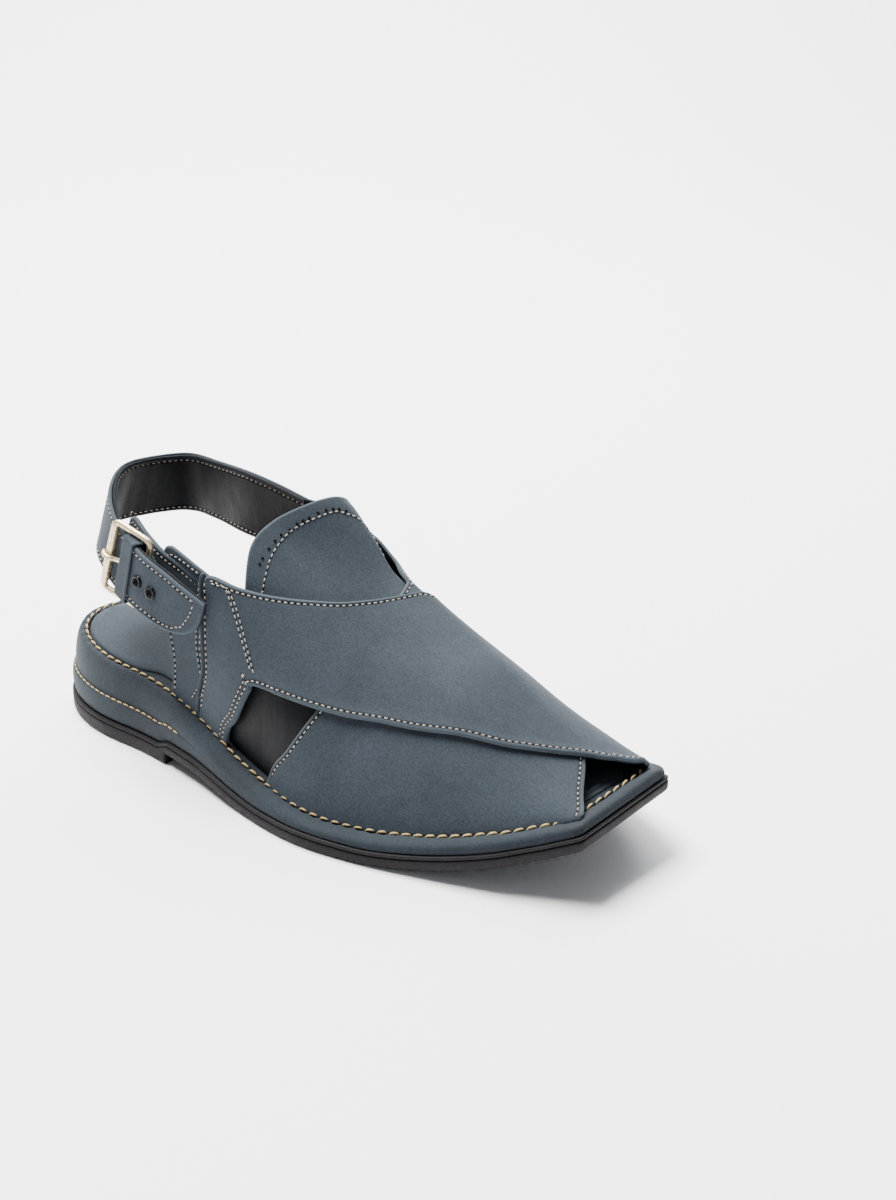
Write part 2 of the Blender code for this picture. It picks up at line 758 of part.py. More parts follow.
def eyelet(number, place, group, material):
    """A turned ring: a barrel through the strap with a rolled flange on the outer face."""
    half = STRAP_THICKNESS / 2
    barrel = EYELET_HOLE + EYELET_WALL
    profile = (
        (EYELET_RADIUS * 0.80, half + 0.0010),
        (EYELET_RADIUS, half + 0.0006),
        (EYELET_RADIUS, half + CLEARANCE),
        (barrel, half + CLEARANCE),
        (barrel, -half),
        (EYELET_HOLE, -half),
        (EYELET_HOLE, half + 0.0004),
        (EYELET_HOLE + 0.0005, half + 0.0010),
    )
    count = len(profile)
    name = f"eyelet_{number}"
    mesh = bpy.data.meshes.new(name)
    points = [(radius, 0.0, z) for radius, z in profile]
    mesh.from_pydata(points, [(i, (i + 1) % count) for i in range(count)], [])
    mesh.materials.append(material)
    item = bpy.data.objects.new(name, mesh)
    group.objects.link(item)
    turned = item.modifiers.new("turned", "SCREW")
    turned.steps = 16
    turned.render_steps = 16
    turned.use_merge_vertices = True
    turned.merge_threshold = 0.00001
    middle = Vector(strap_point(place, 0.5, 0.0))
    out = Vector(strap_point(place, 0.5, 0.001)) - middle
    item.location = middle
    item.rotation_euler = out.to_track_quat("Z", "Y").to_euler()
    return item


def chape(group, material):
    """A folded strip: along the strap's inner face, round the hinge bar and back under itself."""
    radius = wrap_radius()
    run = strap_run(HINGE_BAR_AT)
    near = -(STRAP_THICKNESS / 2 + CLEARANCE + CHAPE_THICKNESS / 2)
    far = near - CHAPE_THICKNESS - CLEARANCE
    turn = np.linspace(np.pi / 2, 3 * np.pi / 2, 9)
    length = (CHAPE_END_AT - HINGE_BAR_AT) * run
    route = [(length, near), (length / 2, near)]
    route += [(radius * np.cos(angle), radius * np.sin(angle) - hinge_depth()) for angle in turn]
    nip, depth = CHAPE_NIP
    route += [(radius * nip, -hinge_depth() - radius * depth), (radius * CHAPE_FLAT, far), (length, far)]
    route = np.array(route)
    places = (HINGE_BAR_AT + route[:, 0] / run)[:, None]
    share = np.linspace(CHAPE_EDGE, 1 - CHAPE_EDGE, 3)[None, :]
    points = strap_point(places + 0 * share, share, route[:, [1]] + 0 * share)
    item = new_object("chape", points.reshape(-1, 3), grid_faces(len(route), 3), group, material)
    add_wall(item, CHAPE_THICKNESS, 0.0)
    return item


def keeper(group, material):
    """A closed loop round strap and prong, between the buckle's side bars and close behind the chape's turn."""
    run = strap_run(HINGE_BAR_AT)
    half = KEEPER_WIDTH / 2 / run
    place = HINGE_BAR_AT - (wrap_radius() + CHAPE_THICKNESS / 2 + CLEARANCE) / run - half
    reach_out = STRAP_THICKNESS / 2 + CLEARANCE
    reach_in = -(STRAP_THICKNESS / 2 + PRONG_WIRE + 2 * CLEARANCE)
    width = strap_width(place)
    over = CLEARANCE / width
    wall = KEEPER_THICKNESS / width
    inner = ((-over, reach_out), (1 + over, reach_out), (1 + over, reach_in), (-over, reach_in))
    outer = (
        (-over - wall, reach_out + KEEPER_THICKNESS),
        (1 + over + wall, reach_out + KEEPER_THICKNESS),
        (1 + over + wall, reach_in - KEEPER_THICKNESS),
        (-over - wall, reach_in - KEEPER_THICKNESS),
    )
    points = []
    for end in (place - half, place + half):
        for ring in (inner, outer):
            for share, out in round_loop(ring, 5):
                points.append(strap_point(end, share, out))
    count = len(points) // 4
    faces = []
    for a, b in ((0, 1), (1, 3), (3, 2), (2, 0)):
        for i in range(count):
            j = (i + 1) % count
            faces.append((a * count + i, a * count + j, b * count + j, b * count + i))
    item = new_object("keeper", points, faces, group, material)
    face_outwards(item)
    return item


def round_loop(corners, per_side):
    """A closed loop through four corners with points along each side."""
    loop = []
    for (a, b), (c, d) in zip(corners, corners[1:] + corners[:1]):
        for step in range(per_side):
            share = step / per_side
            loop.append((a + (c - a) * share, b + (d - b) * share))
    return loop


def strap_width(place):
    return float(np.linalg.norm(strap_point(place, 1.0, 0.0) - strap_point(place, 0.0, 0.0)))


def strap_run(place):
    ends = strap_point(np.array([place - 0.01, place + 0.01]), 0.5, 0.0)
    return float(np.linalg.norm(ends[1] - ends[0])) / 0.02


def buckle_corners():
    """Rear bar outside the strap, hinge bar inside it, both reaching past the strap's edges."""
    rear = STRAP_THICKNESS / 2 + CLEARANCE + BUCKLE_WIRE / 2
    corners = []
    for place, side, shares in ((REAR_BAR_AT, rear, (0, 1)), (HINGE_BAR_AT, -hinge_depth(), (1, 0))):
        past = BUCKLE_REACH / strap_width(place)
        for share in shares:
            corners.append(Vector(strap_point(place, share + (past if share else -past), side)))
    return corners


def buckle_frame(group, material):
    corners = buckle_corners()
    path = []
    for number, corner in enumerate(corners):
        before = corners[number - 1]
        after = corners[(number + 1) % 4]
        start = corner + (before - corner).normalized() * BUCKLE_WIRE
        end = corner + (after - corner).normalized() * BUCKLE_WIRE
        for share in (0.0, 0.25, 0.5, 0.75, 1.0):
            path.append(start * (1 - share) ** 2 + corner * 2 * share * (1 - share) + end * share**2)
    return tube("buckle_frame", path, BUCKLE_WIRE / 2, group, material, closed=True)


def buckle_prong(group, material):
    """From beside the hinge bar, through the strap, to rest on the rear bar."""
    radius = PRONG_WIRE / 2
    run = strap_run(HINGE_BAR_AT)
    gap = STRAP_THICKNESS / 2 + CLEARANCE
    over = gap + BUCKLE_WIRE + CLEARANCE + radius
    start = HINGE_BAR_AT - (wrap_radius() + CHAPE_THICKNESS / 2 + CLEARANCE) / run
    spots = (
        (start, -(gap + radius)),
        ((start + PRONG_HOLE_AT) / 2 + PRONG_BACK, -(gap + radius)),
        (PRONG_HOLE_AT + PRONG_DIVE, -gap * 0.9),
        (PRONG_HOLE_AT, 0.0),
        (PRONG_HOLE_AT - PRONG_CLIMB, gap + radius),
        (REAR_BAR_AT + PRONG_REST, over - radius * 0.55),
        (REAR_BAR_AT, over),
        (REAR_BAR_AT - PRONG_TIP, over - radius),
    )
    route = smooth_table(spots, np.linspace(0, 1, 19))
    points = [strap_point(place, 0.5, out) for place, out in route]
    return tube("buckle_prong", points, radius, group, material)


def stand_on_origin(group):
    """Moves every piece so that the origin lies under the middle of the whole shoe."""
    bpy.context.view_layer.update()
    graph = bpy.context.evaluated_depsgraph_get()
    corners = []
    for item in group.objects:
        done = item.evaluated_get(graph)
        mesh = done.to_mesh()
        corners += [done.matrix_world @ vertex.co for vertex in mesh.vertices]
        done.to_mesh_clear()
    spots = np.array(corners)
    middle = (spots.min(axis=0) + spots.max(axis=0)) / 2
    return Vector((middle[0], middle[1], spots[:, 2].min()))


def main():
    clear_scene()
    group = new_collection(NAME)
    helpers = new_collection("cutters")
    nubuck = new_material("slate_nubuck", (0.080, 0.105, 0.125), 0.85)
    lining = new_material("smooth_lining", (0.028, 0.030, 0.036), 0.45)
    rubber = new_material("dark_rubber", (0.035, 0.033, 0.037), 0.75)
    brass = new_material("antique_brass", (0.55, 0.47, 0.33), 0.35, 1.0)
    black_metal = new_material("black_eyelet", (0.02, 0.02, 0.022), 0.35, 1.0)
    outsole(group, rubber)
    midsole(group, nubuck)
    insole(group, nubuck)
    trim = floor_cutter(helpers)
    upper(group, helpers, trim, nubuck)
    gusset("gusset_lateral", GUSSET_LATERAL_ROWS, group, trim, lining)
    gusset("gusset_medial", GUSSET_MEDIAL_ROWS, group, trim, lining)
    panel("tongue", TONGUE_ROWS, 16, 9, tongue_lift, TONGUE_WALL, group, nubuck)
    heel_strap(group, helpers, nubuck)
    chape(group, nubuck)
    keeper(group, nubuck)
    buckle_frame(group, brass)
    buckle_prong(group, brass)
    for number, place in enumerate(EYELETS_AT):
        eyelet(number + 1, place, group, black_metal)
    shift = stand_on_origin(group)
    for item in list(group.objects) + list(helpers.objects):
        item.location -= shift


main()
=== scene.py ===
"""Looks of the right peshawari chappal: nubuck straps, stitched wedge, lining, buckle and studio.

+X is the toe, +Y the medial (inner) side, +Z up, in metres. Shapes are worked out from the heel back
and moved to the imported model's place by ORIGIN.
"""

import bpy
import numpy as np
from bpy.props import FloatProperty, FloatVectorProperty, PointerProperty
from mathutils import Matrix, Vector


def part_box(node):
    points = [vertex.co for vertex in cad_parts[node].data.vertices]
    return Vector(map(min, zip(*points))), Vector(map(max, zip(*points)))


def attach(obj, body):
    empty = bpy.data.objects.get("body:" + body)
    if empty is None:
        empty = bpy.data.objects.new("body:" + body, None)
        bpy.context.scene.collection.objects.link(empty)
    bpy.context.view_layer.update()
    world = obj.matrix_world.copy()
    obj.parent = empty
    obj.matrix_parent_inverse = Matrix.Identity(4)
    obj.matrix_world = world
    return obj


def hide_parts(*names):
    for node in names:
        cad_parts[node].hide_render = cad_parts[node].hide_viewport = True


bl_info = {
    "name": "Peshawari chappal looks",
    "version": (1, 0, 0),
    "blender": (4, 5, 0),
    "location": "View3D > Sidebar > Chappal",
    "description": "Builds the detailed leather, stitching, sole, buckle and studio of a right chappal",
    "category": "Object",
}

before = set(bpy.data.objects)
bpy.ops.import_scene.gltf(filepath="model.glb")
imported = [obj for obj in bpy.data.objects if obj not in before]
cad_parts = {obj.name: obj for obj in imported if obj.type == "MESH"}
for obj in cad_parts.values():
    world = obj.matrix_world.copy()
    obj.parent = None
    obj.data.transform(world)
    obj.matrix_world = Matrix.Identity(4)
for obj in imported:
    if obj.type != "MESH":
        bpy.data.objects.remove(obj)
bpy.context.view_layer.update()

# Driving sizes, as in the part's source
SOLE_LENGTH = 0.300
BALL_WIDTH = 0.113
HEEL_HEIGHT = 0.040
INSTEP_HEIGHT = 0.0846
STRAP_HEIGHT = 0.117
TOE_SPRING = 0.0258
TOE_SLANT = 0.0054

# Sole build
HEEL_LIFT = 0.0087
OUTSOLE_THICKNESS = 0.0068
BREAST = 0.293
BREAST_STEP = 0.0050
ARCH_END = 0.52
SPRING_START = 0.675
SPRING_POWER = 1.8
HEEL_ROUND = 0.20
HEEL_POWER = 2.2
HEEL_LEDGE = 0.0017
RIM_INSET = 0.0100
STITCH_INSET = 0.0090
STITCH_LEAD = 0.0021
PUCKER_DEPTH = 0.00022
FOLD_DEPTH = 0.00012
INSOLE_INSET = 0.0151
INSOLE_HEEL_INSET = 0.0109
INSOLE_CORNER = 0.006
INSOLE_CROWN = 0.0012

# Upper leather
UNDER_WALL = 0.0020
TOP_WALL = 0.0027
TOP_LIFT = 0.0018
SEAM_STEP = 0.0007
TONGUE_WALL = 0.0022
TONGUE_DEPTH = 0.0027
TONGUE_RISE = 0.0095
LINING_DEPTH = 0.0030
LINING_WALL = 0.0015
STRAP_STAND = 0.0062
CURL = 0.0010
CURL_REACH = 0.0035
SEAM_DEPTH = 0.0002
SEAM_POINTS = 500
GROOVE_WIDTH = 0.00055
GROOVE_DEPTH = 0.00030
SEAM_SWELL = 0.00016
FLARE = 0.0011
FLARE_HEIGHT = 0.0028
PANEL_WAVES = 0.00022

# Heel strap and buckle
STRAP_THICKNESS = 0.0030
CHAPE_THICKNESS = 0.0010
CHAPE_EDGE = 0.14
CLEARANCE = 0.0003
KEEPER_THICKNESS = 0.0012
KEEPER_WIDTH = 0.0075
KEEPER_TURN = 0.0015
FLAP_WALL = 0.0020
BUCKLE_WIRE = 0.0028
BUCKLE_REACH = 0.0031
PRONG_WIRE = 0.0022
EYELET_RADIUS = 0.0030
EYELET_HOLE = 0.0015
# Seam round the strap's tip: (place, share across)
TIP_SEAM = ((0.925, 0.775), (0.941, 0.690), (0.951, 0.530), (0.959, 0.358), (0.963, 0.160))
STRAP_SEAM = 0.0024
FLAP_SEAM = 0.0029
TIP_START = 0.86
TIP_CUT = 0.85
REAR_BAR_AT = 0.690
HINGE_BAR_AT = 0.780
PRONG_HOLE_AT = 0.722
CHAPE_END_AT = 0.890
FLAP_START_AT = 0.640
FLAP_END_AT = 0.930
FLAP_TOP = -0.06
FLAP_LOW = 0.80
EYELETS_AT = (0.793, 0.840)
BORE_RISE = 0.00034

# Sole outline and rim: along as a share of SOLE_LENGTH, half widths of BALL_WIDTH, rim of HEEL_HEIGHT
SOLE_COLUMNS = ("along", "lateral", "medial", "rim")
SOLE_ROWS = (
    (0.00, 0.366, 0.349, 1.000),
    (0.12, 0.366, 0.349, 0.910),
    (0.24, 0.372, 0.352, 0.835),
    (0.34, 0.418, 0.376, 0.700),
    (0.46, 0.492, 0.389, 0.452),
    (0.58, 0.542, 0.427, 0.296),
    (0.68, 0.518, 0.481, 0.290),
    (0.78, 0.454, 0.494, 0.395),
    (0.88, 0.380, 0.433, 0.600),
    (0.95, 0.311, 0.344, 0.790),
    (1.00, 0.263, 0.256, 0.955),
)

# Last: crest height as a share of INSTEP_HEIGHT, ridge shift of BALL_WIDTH, fullness is a plain exponent
LAST_COLUMNS = ("along", "crest", "ridge", "fullness")
LAST_ROWS = (
    (0.20, 2.060, -0.060, 2.60),
    (0.30, 1.765, -0.040, 2.55),
    (0.40, 1.501, 0.080, 2.30),
    (0.50, 1.241, 0.165, 2.05),
    (0.60, 1.000, 0.188, 1.90),
    (0.683, 0.874, 0.155, 1.75),
    (0.767, 0.790, 0.090, 1.62),
    (0.85, 0.629, 0.070, 1.70),
    (0.917, 0.515, 0.085, 1.92),
    (0.975, 0.460, 0.103, 2.10),
)

# Panels on the last: front edge then rear edge, each as (along, girth from 0 lateral rim to 1 medial rim)
TOP_STRAP_ROWS = (
    (0.410, -0.030, 0.345, -0.030),
    (0.420, 0.014, 0.358, 0.020),
    (0.443, 0.048, 0.374, 0.065),
    (0.4672, 0.108, 0.368, 0.140),
    (0.4735, 0.1235, 0.367, 0.189),
    (0.520, 0.151, 0.420, 0.228),
    (0.573, 0.178, 0.473, 0.272),
    (0.620, 0.200, 0.517, 0.317),
    (0.667, 0.222, 0.555, 0.368),
    (0.743, 0.250, 0.590, 0.444),
    (0.830, 0.300, 0.610, 0.540),
    (0.880, 0.365, 0.613, 0.640),
    (0.917, 0.439, 0.606, 0.740),
    (0.947, 0.505, 0.590, 0.830),
    (0.966, 0.600, 0.566, 0.910),
    (0.974, 0.800, 0.547, 0.975),
    (0.972, 1.030, 0.532, 1.030),
)
UNDER_STRAP_ROWS = (
    (0.420, 1.030, 0.350, 1.030),
    (0.424, 0.985, 0.360, 0.980),
    (0.437, 0.955, 0.377, 0.930),
    (0.450, 0.930, 0.368, 0.850),
    (0.467, 0.910, 0.364, 0.765),
    (0.520, 0.886, 0.405, 0.715),
    (0.580, 0.860, 0.452, 0.680),
    (0.640, 0.838, 0.494, 0.646),
    (0.700, 0.815, 0.534, 0.630),
    (0.765, 0.770, 0.566, 0.552),
    (0.825, 0.695, 0.590, 0.455),
    (0.880, 0.575, 0.600, 0.340),
    (0.920, 0.433, 0.592, 0.240),
    (0.944, 0.300, 0.573, 0.165),
    (0.960, 0.180, 0.545, 0.085),
    (0.966, 0.080, 0.517, 0.030),
    (0.966, -0.030, 0.500, -0.030),
)
REAR_LATERAL_ROWS = (
    (0.357, -0.030, 0.277, -0.030),
    (0.372, 0.022, 0.289, 0.022),
    (0.388, 0.065, 0.280, 0.060),
    (0.383, 0.130, 0.277, 0.120),
    (0.381, 0.175, 0.279, 0.150),
    (0.380, 0.194, 0.293, 0.165),
)
REAR_MEDIAL_ROWS = (
    (0.362, 1.030, 0.270, 1.030),
    (0.374, 0.980, 0.280, 0.980),
    (0.391, 0.930, 0.268, 0.930),
    (0.383, 0.850, 0.262, 0.880),
    (0.378, 0.745, 0.264, 0.823),
)
GUSSET_LATERAL_ROWS = (
    (0.525, -0.030, 0.400, -0.030),
    (0.560, 0.060, 0.410, 0.060),
    (0.590, 0.130, 0.428, 0.130),
    (0.600, 0.200, 0.450, 0.190),
)
GUSSET_MEDIAL_ROWS = (
    (0.555, 1.030, 0.402, 1.030),
    (0.580, 0.950, 0.408, 0.950),
    (0.600, 0.880, 0.424, 0.880),
    (0.610, 0.820, 0.440, 0.830),
)
TONGUE_ROWS = (
    (0.630, 0.300, 0.424, 0.222),
    (0.632, 0.370, 0.415, 0.300),
    (0.634, 0.430, 0.426, 0.385),
    (0.635, 0.480, 0.444, 0.465),
    (0.635, 0.530, 0.457, 0.535),
    (0.634, 0.590, 0.452, 0.610),
    (0.632, 0.650, 0.436, 0.695),
    (0.630, 0.700, 0.424, 0.790),
)
# How far pieces stand off the last, as (where it starts, how long it takes) in along or girth
STAND_ALONG = (0.595, 0.105)
STAND_CREST = (0.540, 0.100)
STAND_FOOT = (0.975, 0.100)
TOP_CLIMB = 0.10
TONGUE_ALONG = (0.585, 0.140)
TONGUE_CREST = (0.360, 0.160)
TONGUE_RIM = 0.110

# Rows of the under strap whose rear edge is the throat's medial rim
THROAT_FIRST = 4
THROAT_LAST = 10

# Seams that follow no edge: panel, then (along, girth) points
FREE_SEAMS = (
    ("top_strap", (
        (0.3769, 0.1889), (0.3886, 0.1973), (0.4006, 0.2067), (0.4060, 0.2055),
        (0.4192, 0.1942), (0.4355, 0.1776), (0.4513, 0.1605), (0.4671, 0.1423),
    )),
    ("top_strap", (
        (0.4066, 0.2094), (0.4214, 0.2030), (0.4387, 0.1857), (0.4552, 0.1659), (0.4736, 0.1428),
    )),
    ("under_strap", (
        (0.3770, 0.7900), (0.3890, 0.7700), (0.4010, 0.7480), (0.4070, 0.7480),
        (0.4200, 0.7680), (0.4360, 0.7950), (0.4520, 0.8270), (0.4670, 0.8600),
    )),
    ("under_strap", (
        (0.4080, 0.7400), (0.4214, 0.7530), (0.4387, 0.7800), (0.4552, 0.8130), (0.4736, 0.8520),
    )),
    ("rear_lateral", (
        (0.3591, 0.1781), (0.3579, 0.1644), (0.3581, 0.1436), (0.3592, 0.1272), (0.3595, 0.0988),
        (0.3581, 0.0789), (0.3624, 0.0599), (0.3669, 0.0482), (0.3672, 0.0388),
        (0.3579, 0.0209), (0.3473, 0.0084),
    )),
    ("rear_lateral", (
        (0.3531, 0.1675), (0.3524, 0.1532), (0.3511, 0.1286), (0.3500, 0.1059), (0.3510, 0.0921),
        (0.3506, 0.0754), (0.3553, 0.0552), (0.3585, 0.0442), (0.3554, 0.0315),
        (0.3446, 0.0175), (0.3347, 0.0079),
    )),
    ("rear_lateral", (
        (0.2881, 0.1302), (0.2822, 0.1350), (0.2860, 0.1447), (0.2965, 0.1552),
        (0.3150, 0.1635), (0.3330, 0.1700), (0.3466, 0.1748), (0.3591, 0.1770),
    )),
    ("rear_medial", (
        (0.3570, 0.7850), (0.3560, 0.8100), (0.3560, 0.8550), (0.3590, 0.9000),
        (0.3640, 0.9420), (0.3660, 0.9600), (0.3570, 0.9790), (0.3470, 0.9920),
    )),
    ("rear_medial", (
        (0.3490, 0.7950), (0.3480, 0.8200), (0.3480, 0.8650), (0.3500, 0.9080),
        (0.3550, 0.9460), (0.3550, 0.9680), (0.3450, 0.9830), (0.3350, 0.9920),
    )),
    ("rear_medial", (
        (0.2881, 0.8680), (0.2822, 0.8600), (0.2860, 0.8460), (0.2965, 0.8300),
        (0.3150, 0.8130), (0.3330, 0.7990), (0.3466, 0.7900), (0.3570, 0.7850),
    )),
    ("tongue", (
        (0.4512, 0.2500), (0.4490, 0.2700), (0.4465, 0.2948), (0.4451, 0.3235), (0.4460, 0.3508),
        (0.4493, 0.3910), (0.4550, 0.4206), (0.4608, 0.4457), (0.4687, 0.4780), (0.4752, 0.4900),
        (0.4814, 0.4979), (0.4948, 0.5220), (0.5200, 0.5520), (0.5500, 0.5760),
    )),
)
# Small holes pricked behind the tongue's arch, as (along, girth)
PINHOLES = (
    (0.4352, 0.2918), (0.4360, 0.3055), (0.4385, 0.3303), (0.4405, 0.3531), (0.4429, 0.3728),
    (0.4480, 0.3942), (0.4500, 0.4128), (0.4528, 0.4250), (0.4553, 0.4369), (0.4582, 0.4553),
    (0.4615, 0.4700), (0.4653, 0.4810), (0.4692, 0.4896), (0.4753, 0.4973),
)

# Heel strap, from the medial quarter round the heel to the tip: along as a share of SOLE_LENGTH, across of
# the last's half width at that place, heights of STRAP_HEIGHT
STRAP_ROWS = (
    (0.384, 0.785, 0.940, 0.376, 0.960, 0.690),
    (0.280, 0.852, 0.985, 0.267, 0.974, 0.712),
    (0.203, 0.960, 0.988, 0.183, 1.130, 0.728),
    (0.143, 0.880, 0.995, 0.115, 1.100, 0.736),
    (0.113, 0.000, 1.003, 0.075, 0.000, 0.745),
    (0.143, -0.640, 0.978, 0.118, -0.810, 0.732),
    (0.192, -1.000, 0.900, 0.167, -1.080, 0.680),
    (0.257, -1.180, 0.840, 0.240, -1.270, 0.622),
    (0.323, -1.120, 0.785, 0.303, -1.210, 0.570),
    (0.387, -1.020, 0.722, 0.367, -1.100, 0.520),
)

# Stitching
UPPER_PITCH = 0.0027
UPPER_STITCH = 0.0017
UPPER_THREAD = 0.00029
# Sizes of the near-black capsules and cups painted as shade in needle holes and pinholes
HOLE_LENGTH = 0.0010
HOLE_RADIUS = 0.00028
PINHOLE_RADIUS = 0.0006
RIM_PITCH = 0.0054
RIM_STITCH = 0.0045
RIM_THREAD = 0.00052
RIM_SLANT = 0.16
# Radius of the dark tube painted as shade in the rim's crease
CREASE_SHADE_RADIUS = 0.0006
LEDGE_PITCH = 0.0040
LEDGE_STITCH = 0.0034
LEDGE_THREAD = 0.00036
LEDGE_END = 0.330

# Rings round the sole: points round the heel, waist, sides, toe corner and across
HEEL_POINTS = 90
WAIST_POINTS = 30
SIDE_POINTS = 190
CORNER_POINTS = 12
ACROSS_POINTS = 36
TOE_CORNER = 0.0030
RIM_CORNER = 0.0075
PIPING_RADIUS = 0.0011
PIPING_GAP = 0.0016
PIPING_SINK = 0.0006
PIPING_END = 0.245

# Outsole, bottom to top: inset in mm, share of the way from its underside to its top, rise in mm
OUTSOLE_ROWS = (
    (1.60, 0.0, 0.0),
    (0.90, 0.0, 0.3),
    (0.30, 0.0, 0.9),
    (0.00, 0.0, 1.8),
    (0.00, 0.5, 0.0),
    (0.00, 1.0, -2.3),
    (0.25, 1.0, -2.0),
    (0.90, 1.0, -1.9),
    (0.90, 1.0, -1.6),
    (0.30, 1.0, -1.5),
    (0.10, 1.0, -1.1),
    (0.10, 1.0, -0.4),
    (0.50, 1.0, 0.0),
    (1.60, 1.0, 0.0),
)

# Midsole wrap, bottom to top: inset and heel ledge in mm, rise as a share of its height, drop in mm
WRAP_RINGS = 34
WRAP_ROWS = (
    (2.6, 0.0, 0.000, 0.0),
    (1.9, 0.0, 0.020, 0.0),
    (1.5, -0.3, 0.080, 0.0),
    (1.2, -0.4, 0.220, 0.0),
    (1.3, -0.1, 0.360, 0.0),
    (1.3, 0.3, 0.398, 0.0),
    (1.4, 1.3, 0.410, 0.0),
    (1.4, 1.5, 0.440, 0.0),
    (1.5, 1.4, 0.540, 0.0),
    (2.0, 1.4, 0.700, 0.0),
    (3.0, 1.3, 0.840, 0.0),
    (4.4, 0.8, 0.930, 0.0),
    (6.0, 0.3, 0.985, 0.0),
    (7.4, 0.0, 1.000, 0.15),
    (8.4, 0.0, 1.000, 0.75),
    (9.4, 0.0, 1.000, 0.90),
    (11.0, 0.0, 1.000, 0.70),
    (13.0, 0.0, 1.000, 0.40),
)

# Seams: panel, edge, distance from it in metres, first and last place along the panel
SEAM_ROWS = (
    ("top_strap", "rear", 0.0015, 0.050, 0.242),
    ("top_strap", "rear", 0.0021, 0.255, 0.965),
    ("top_strap", "front", 0.0022, 0.045, 0.960),
    ("top_strap", "front", 0.0043, 0.045, 0.232),
    ("under_strap", "rear", 0.0015, 0.050, 0.242),
    ("under_strap", "rear", 0.0021, 0.255, 0.950),
    ("under_strap", "front", 0.0022, 0.045, 0.960),
    ("under_strap", "front", 0.0043, 0.045, 0.232),
    ("rear_lateral", "rear", 0.0022, 0.128, 0.667),
    ("rear_medial", "rear", 0.0022, 0.160, 0.800),
)

# Lights: name, (along the view, beside it, height), (width, height), watts, colour
LIGHTS = (
    ("key_light", (0.45, -0.55, 2.0), (1.3, 1.0), 240.0, "fffcf8"),
    ("fill_light", (-1.4, 1.0, 1.1), (1.6, 1.2), 3.0, "f6f8ff"),
    ("back_light", (1.3, 0.4, 1.6), (1.4, 0.9), 50.0, "ffffff"),
)

# Distances from a panel's edge at which its grid has a line, in metres
EDGE_LINES = np.array(
    (0, 0.08, 0.22, 0.42, 0.68, 1.0, 1.4, 1.8, 2.2, 2.55, 2.9, 3.25, 3.65, 4.2, 5.0, 5.5, 6.2)
) / 1000

# Photograph's camera, from the heel back
CAMERA_EYE = (0.5849, -0.5195, 0.3835)
CAMERA_HEADING = (-0.5847, 0.8113)
CAMERA_DIP = 0.4218821
CAMERA_LENS = 52.5


def ease(value):
    """0 below 0, 1 above 1, and 3t^2 - 2t^3 between."""
    value = np.clip(value, 0.0, 1.0)
    return value * value * (3 - 2 * value)


def bell(value, width):
    """exp(-(value / width)^2)"""
    return np.exp(-((value / width) ** 2))


def smooth_table(rows, place):
    """Rows of numbers read at places 0 to 1 along the list, on cubic pieces through every row."""
    rows = np.asarray(rows, float)
    count = len(rows)
    place = np.clip(np.asarray(place, float), 0.0, 1.0) * (count - 1)
    start = np.minimum(place.astype(int), count - 2)
    part = (place - start)[..., None]
    before = rows[np.maximum(start - 1, 0)]
    left = rows[start]
    right = rows[start + 1]
    after = rows[np.minimum(start + 2, count - 1)]
    slope_left = (right - before) / 2
    slope_right = (after - left) / 2
    return (
        (2 * part**3 - 3 * part**2 + 1) * left
        + (part**3 - 2 * part**2 + part) * slope_left
        + (3 * part**2 - 2 * part**3) * right
        + (part**3 - part**2) * slope_right
    )


def column(rows, columns, name, along):
    """One column of a table whose first column is the share along the sole."""
    table = np.asarray(rows, float)
    places = np.interp(along, table[:, 0], np.arange(len(table)) / (len(table) - 1))
    return smooth_table(table[:, [columns.index(name)]], places)[..., 0]


def raw_half_width(along, side):
    name = "medial" if side > 0 else "lateral"
    return BALL_WIDTH * column(SOLE_ROWS, SOLE_COLUMNS, name, along)


def half_width(along, side):
    """The side's width, closed at the heel by a superellipse quarter."""
    short = np.clip((HEEL_ROUND - along) / HEEL_ROUND, 0.0, 1.0)
    return raw_half_width(along, side) * (1 - short**HEEL_POWER) ** (1 / HEEL_POWER)


def rim_height(x):
    return HEEL_HEIGHT * column(SOLE_ROWS, SOLE_COLUMNS, "rim", x / SOLE_LENGTH)


def arch_and_spring(x):
    """The breast's step easing down to the ball, and the toe spring: a power of the way ahead."""
    along = x / SOLE_LENGTH
    arch = BREAST_STEP * (1 - ease((along - BREAST - 0.05) / (ARCH_END - BREAST - 0.05)))
    spring = TOE_SPRING * np.clip((along - SPRING_START) / (1 - SPRING_START), 0, None) ** SPRING_POWER
    return arch, spring


def sole_bottom(x):
    arch, spring = arch_and_spring(x)
    return np.where(x / SOLE_LENGTH < BREAST, 0.0, arch) + spring


def outsole_top(x):
    arch, spring = arch_and_spring(x)
    blend = ease((x / SOLE_LENGTH - BREAST + 0.02) / 0.03)
    return HEEL_LIFT * (1 - blend) + (arch + spring + OUTSOLE_THICKNESS) * blend


def sole_origin():
    """Where the heel back on the sole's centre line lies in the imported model."""
    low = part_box("outsole")[0]
    along = np.linspace(0, 1, 601)
    lateral = half_width(along, -1).max()
    return np.array((low[0], low[1] + lateral, low[2]))


ORIGIN = sole_origin()


def linear(hex_colour):
    """sRGB hex, such as 4c5a64, to a linear RGBA tuple."""
    value = int(hex_colour, 16)
    parts = np.array(((value >> 16) & 255, (value >> 8) & 255, value & 255)) / 255
    parts = np.where(parts <= 0.04045, parts / 12.92, ((parts + 0.055) / 1.055) ** 2.4)
    return (*(float(part) for part in parts), 1.0)


def fill_sockets(tree, node, values):
    """Sets a node's sockets, by name or number, to a number, a colour or another node's output."""
    for key, value in values.items():
        if isinstance(value, bpy.types.NodeSocket):
            tree.links.new(value, node.inputs[key])
        else:
            node.inputs[key].default_value = value


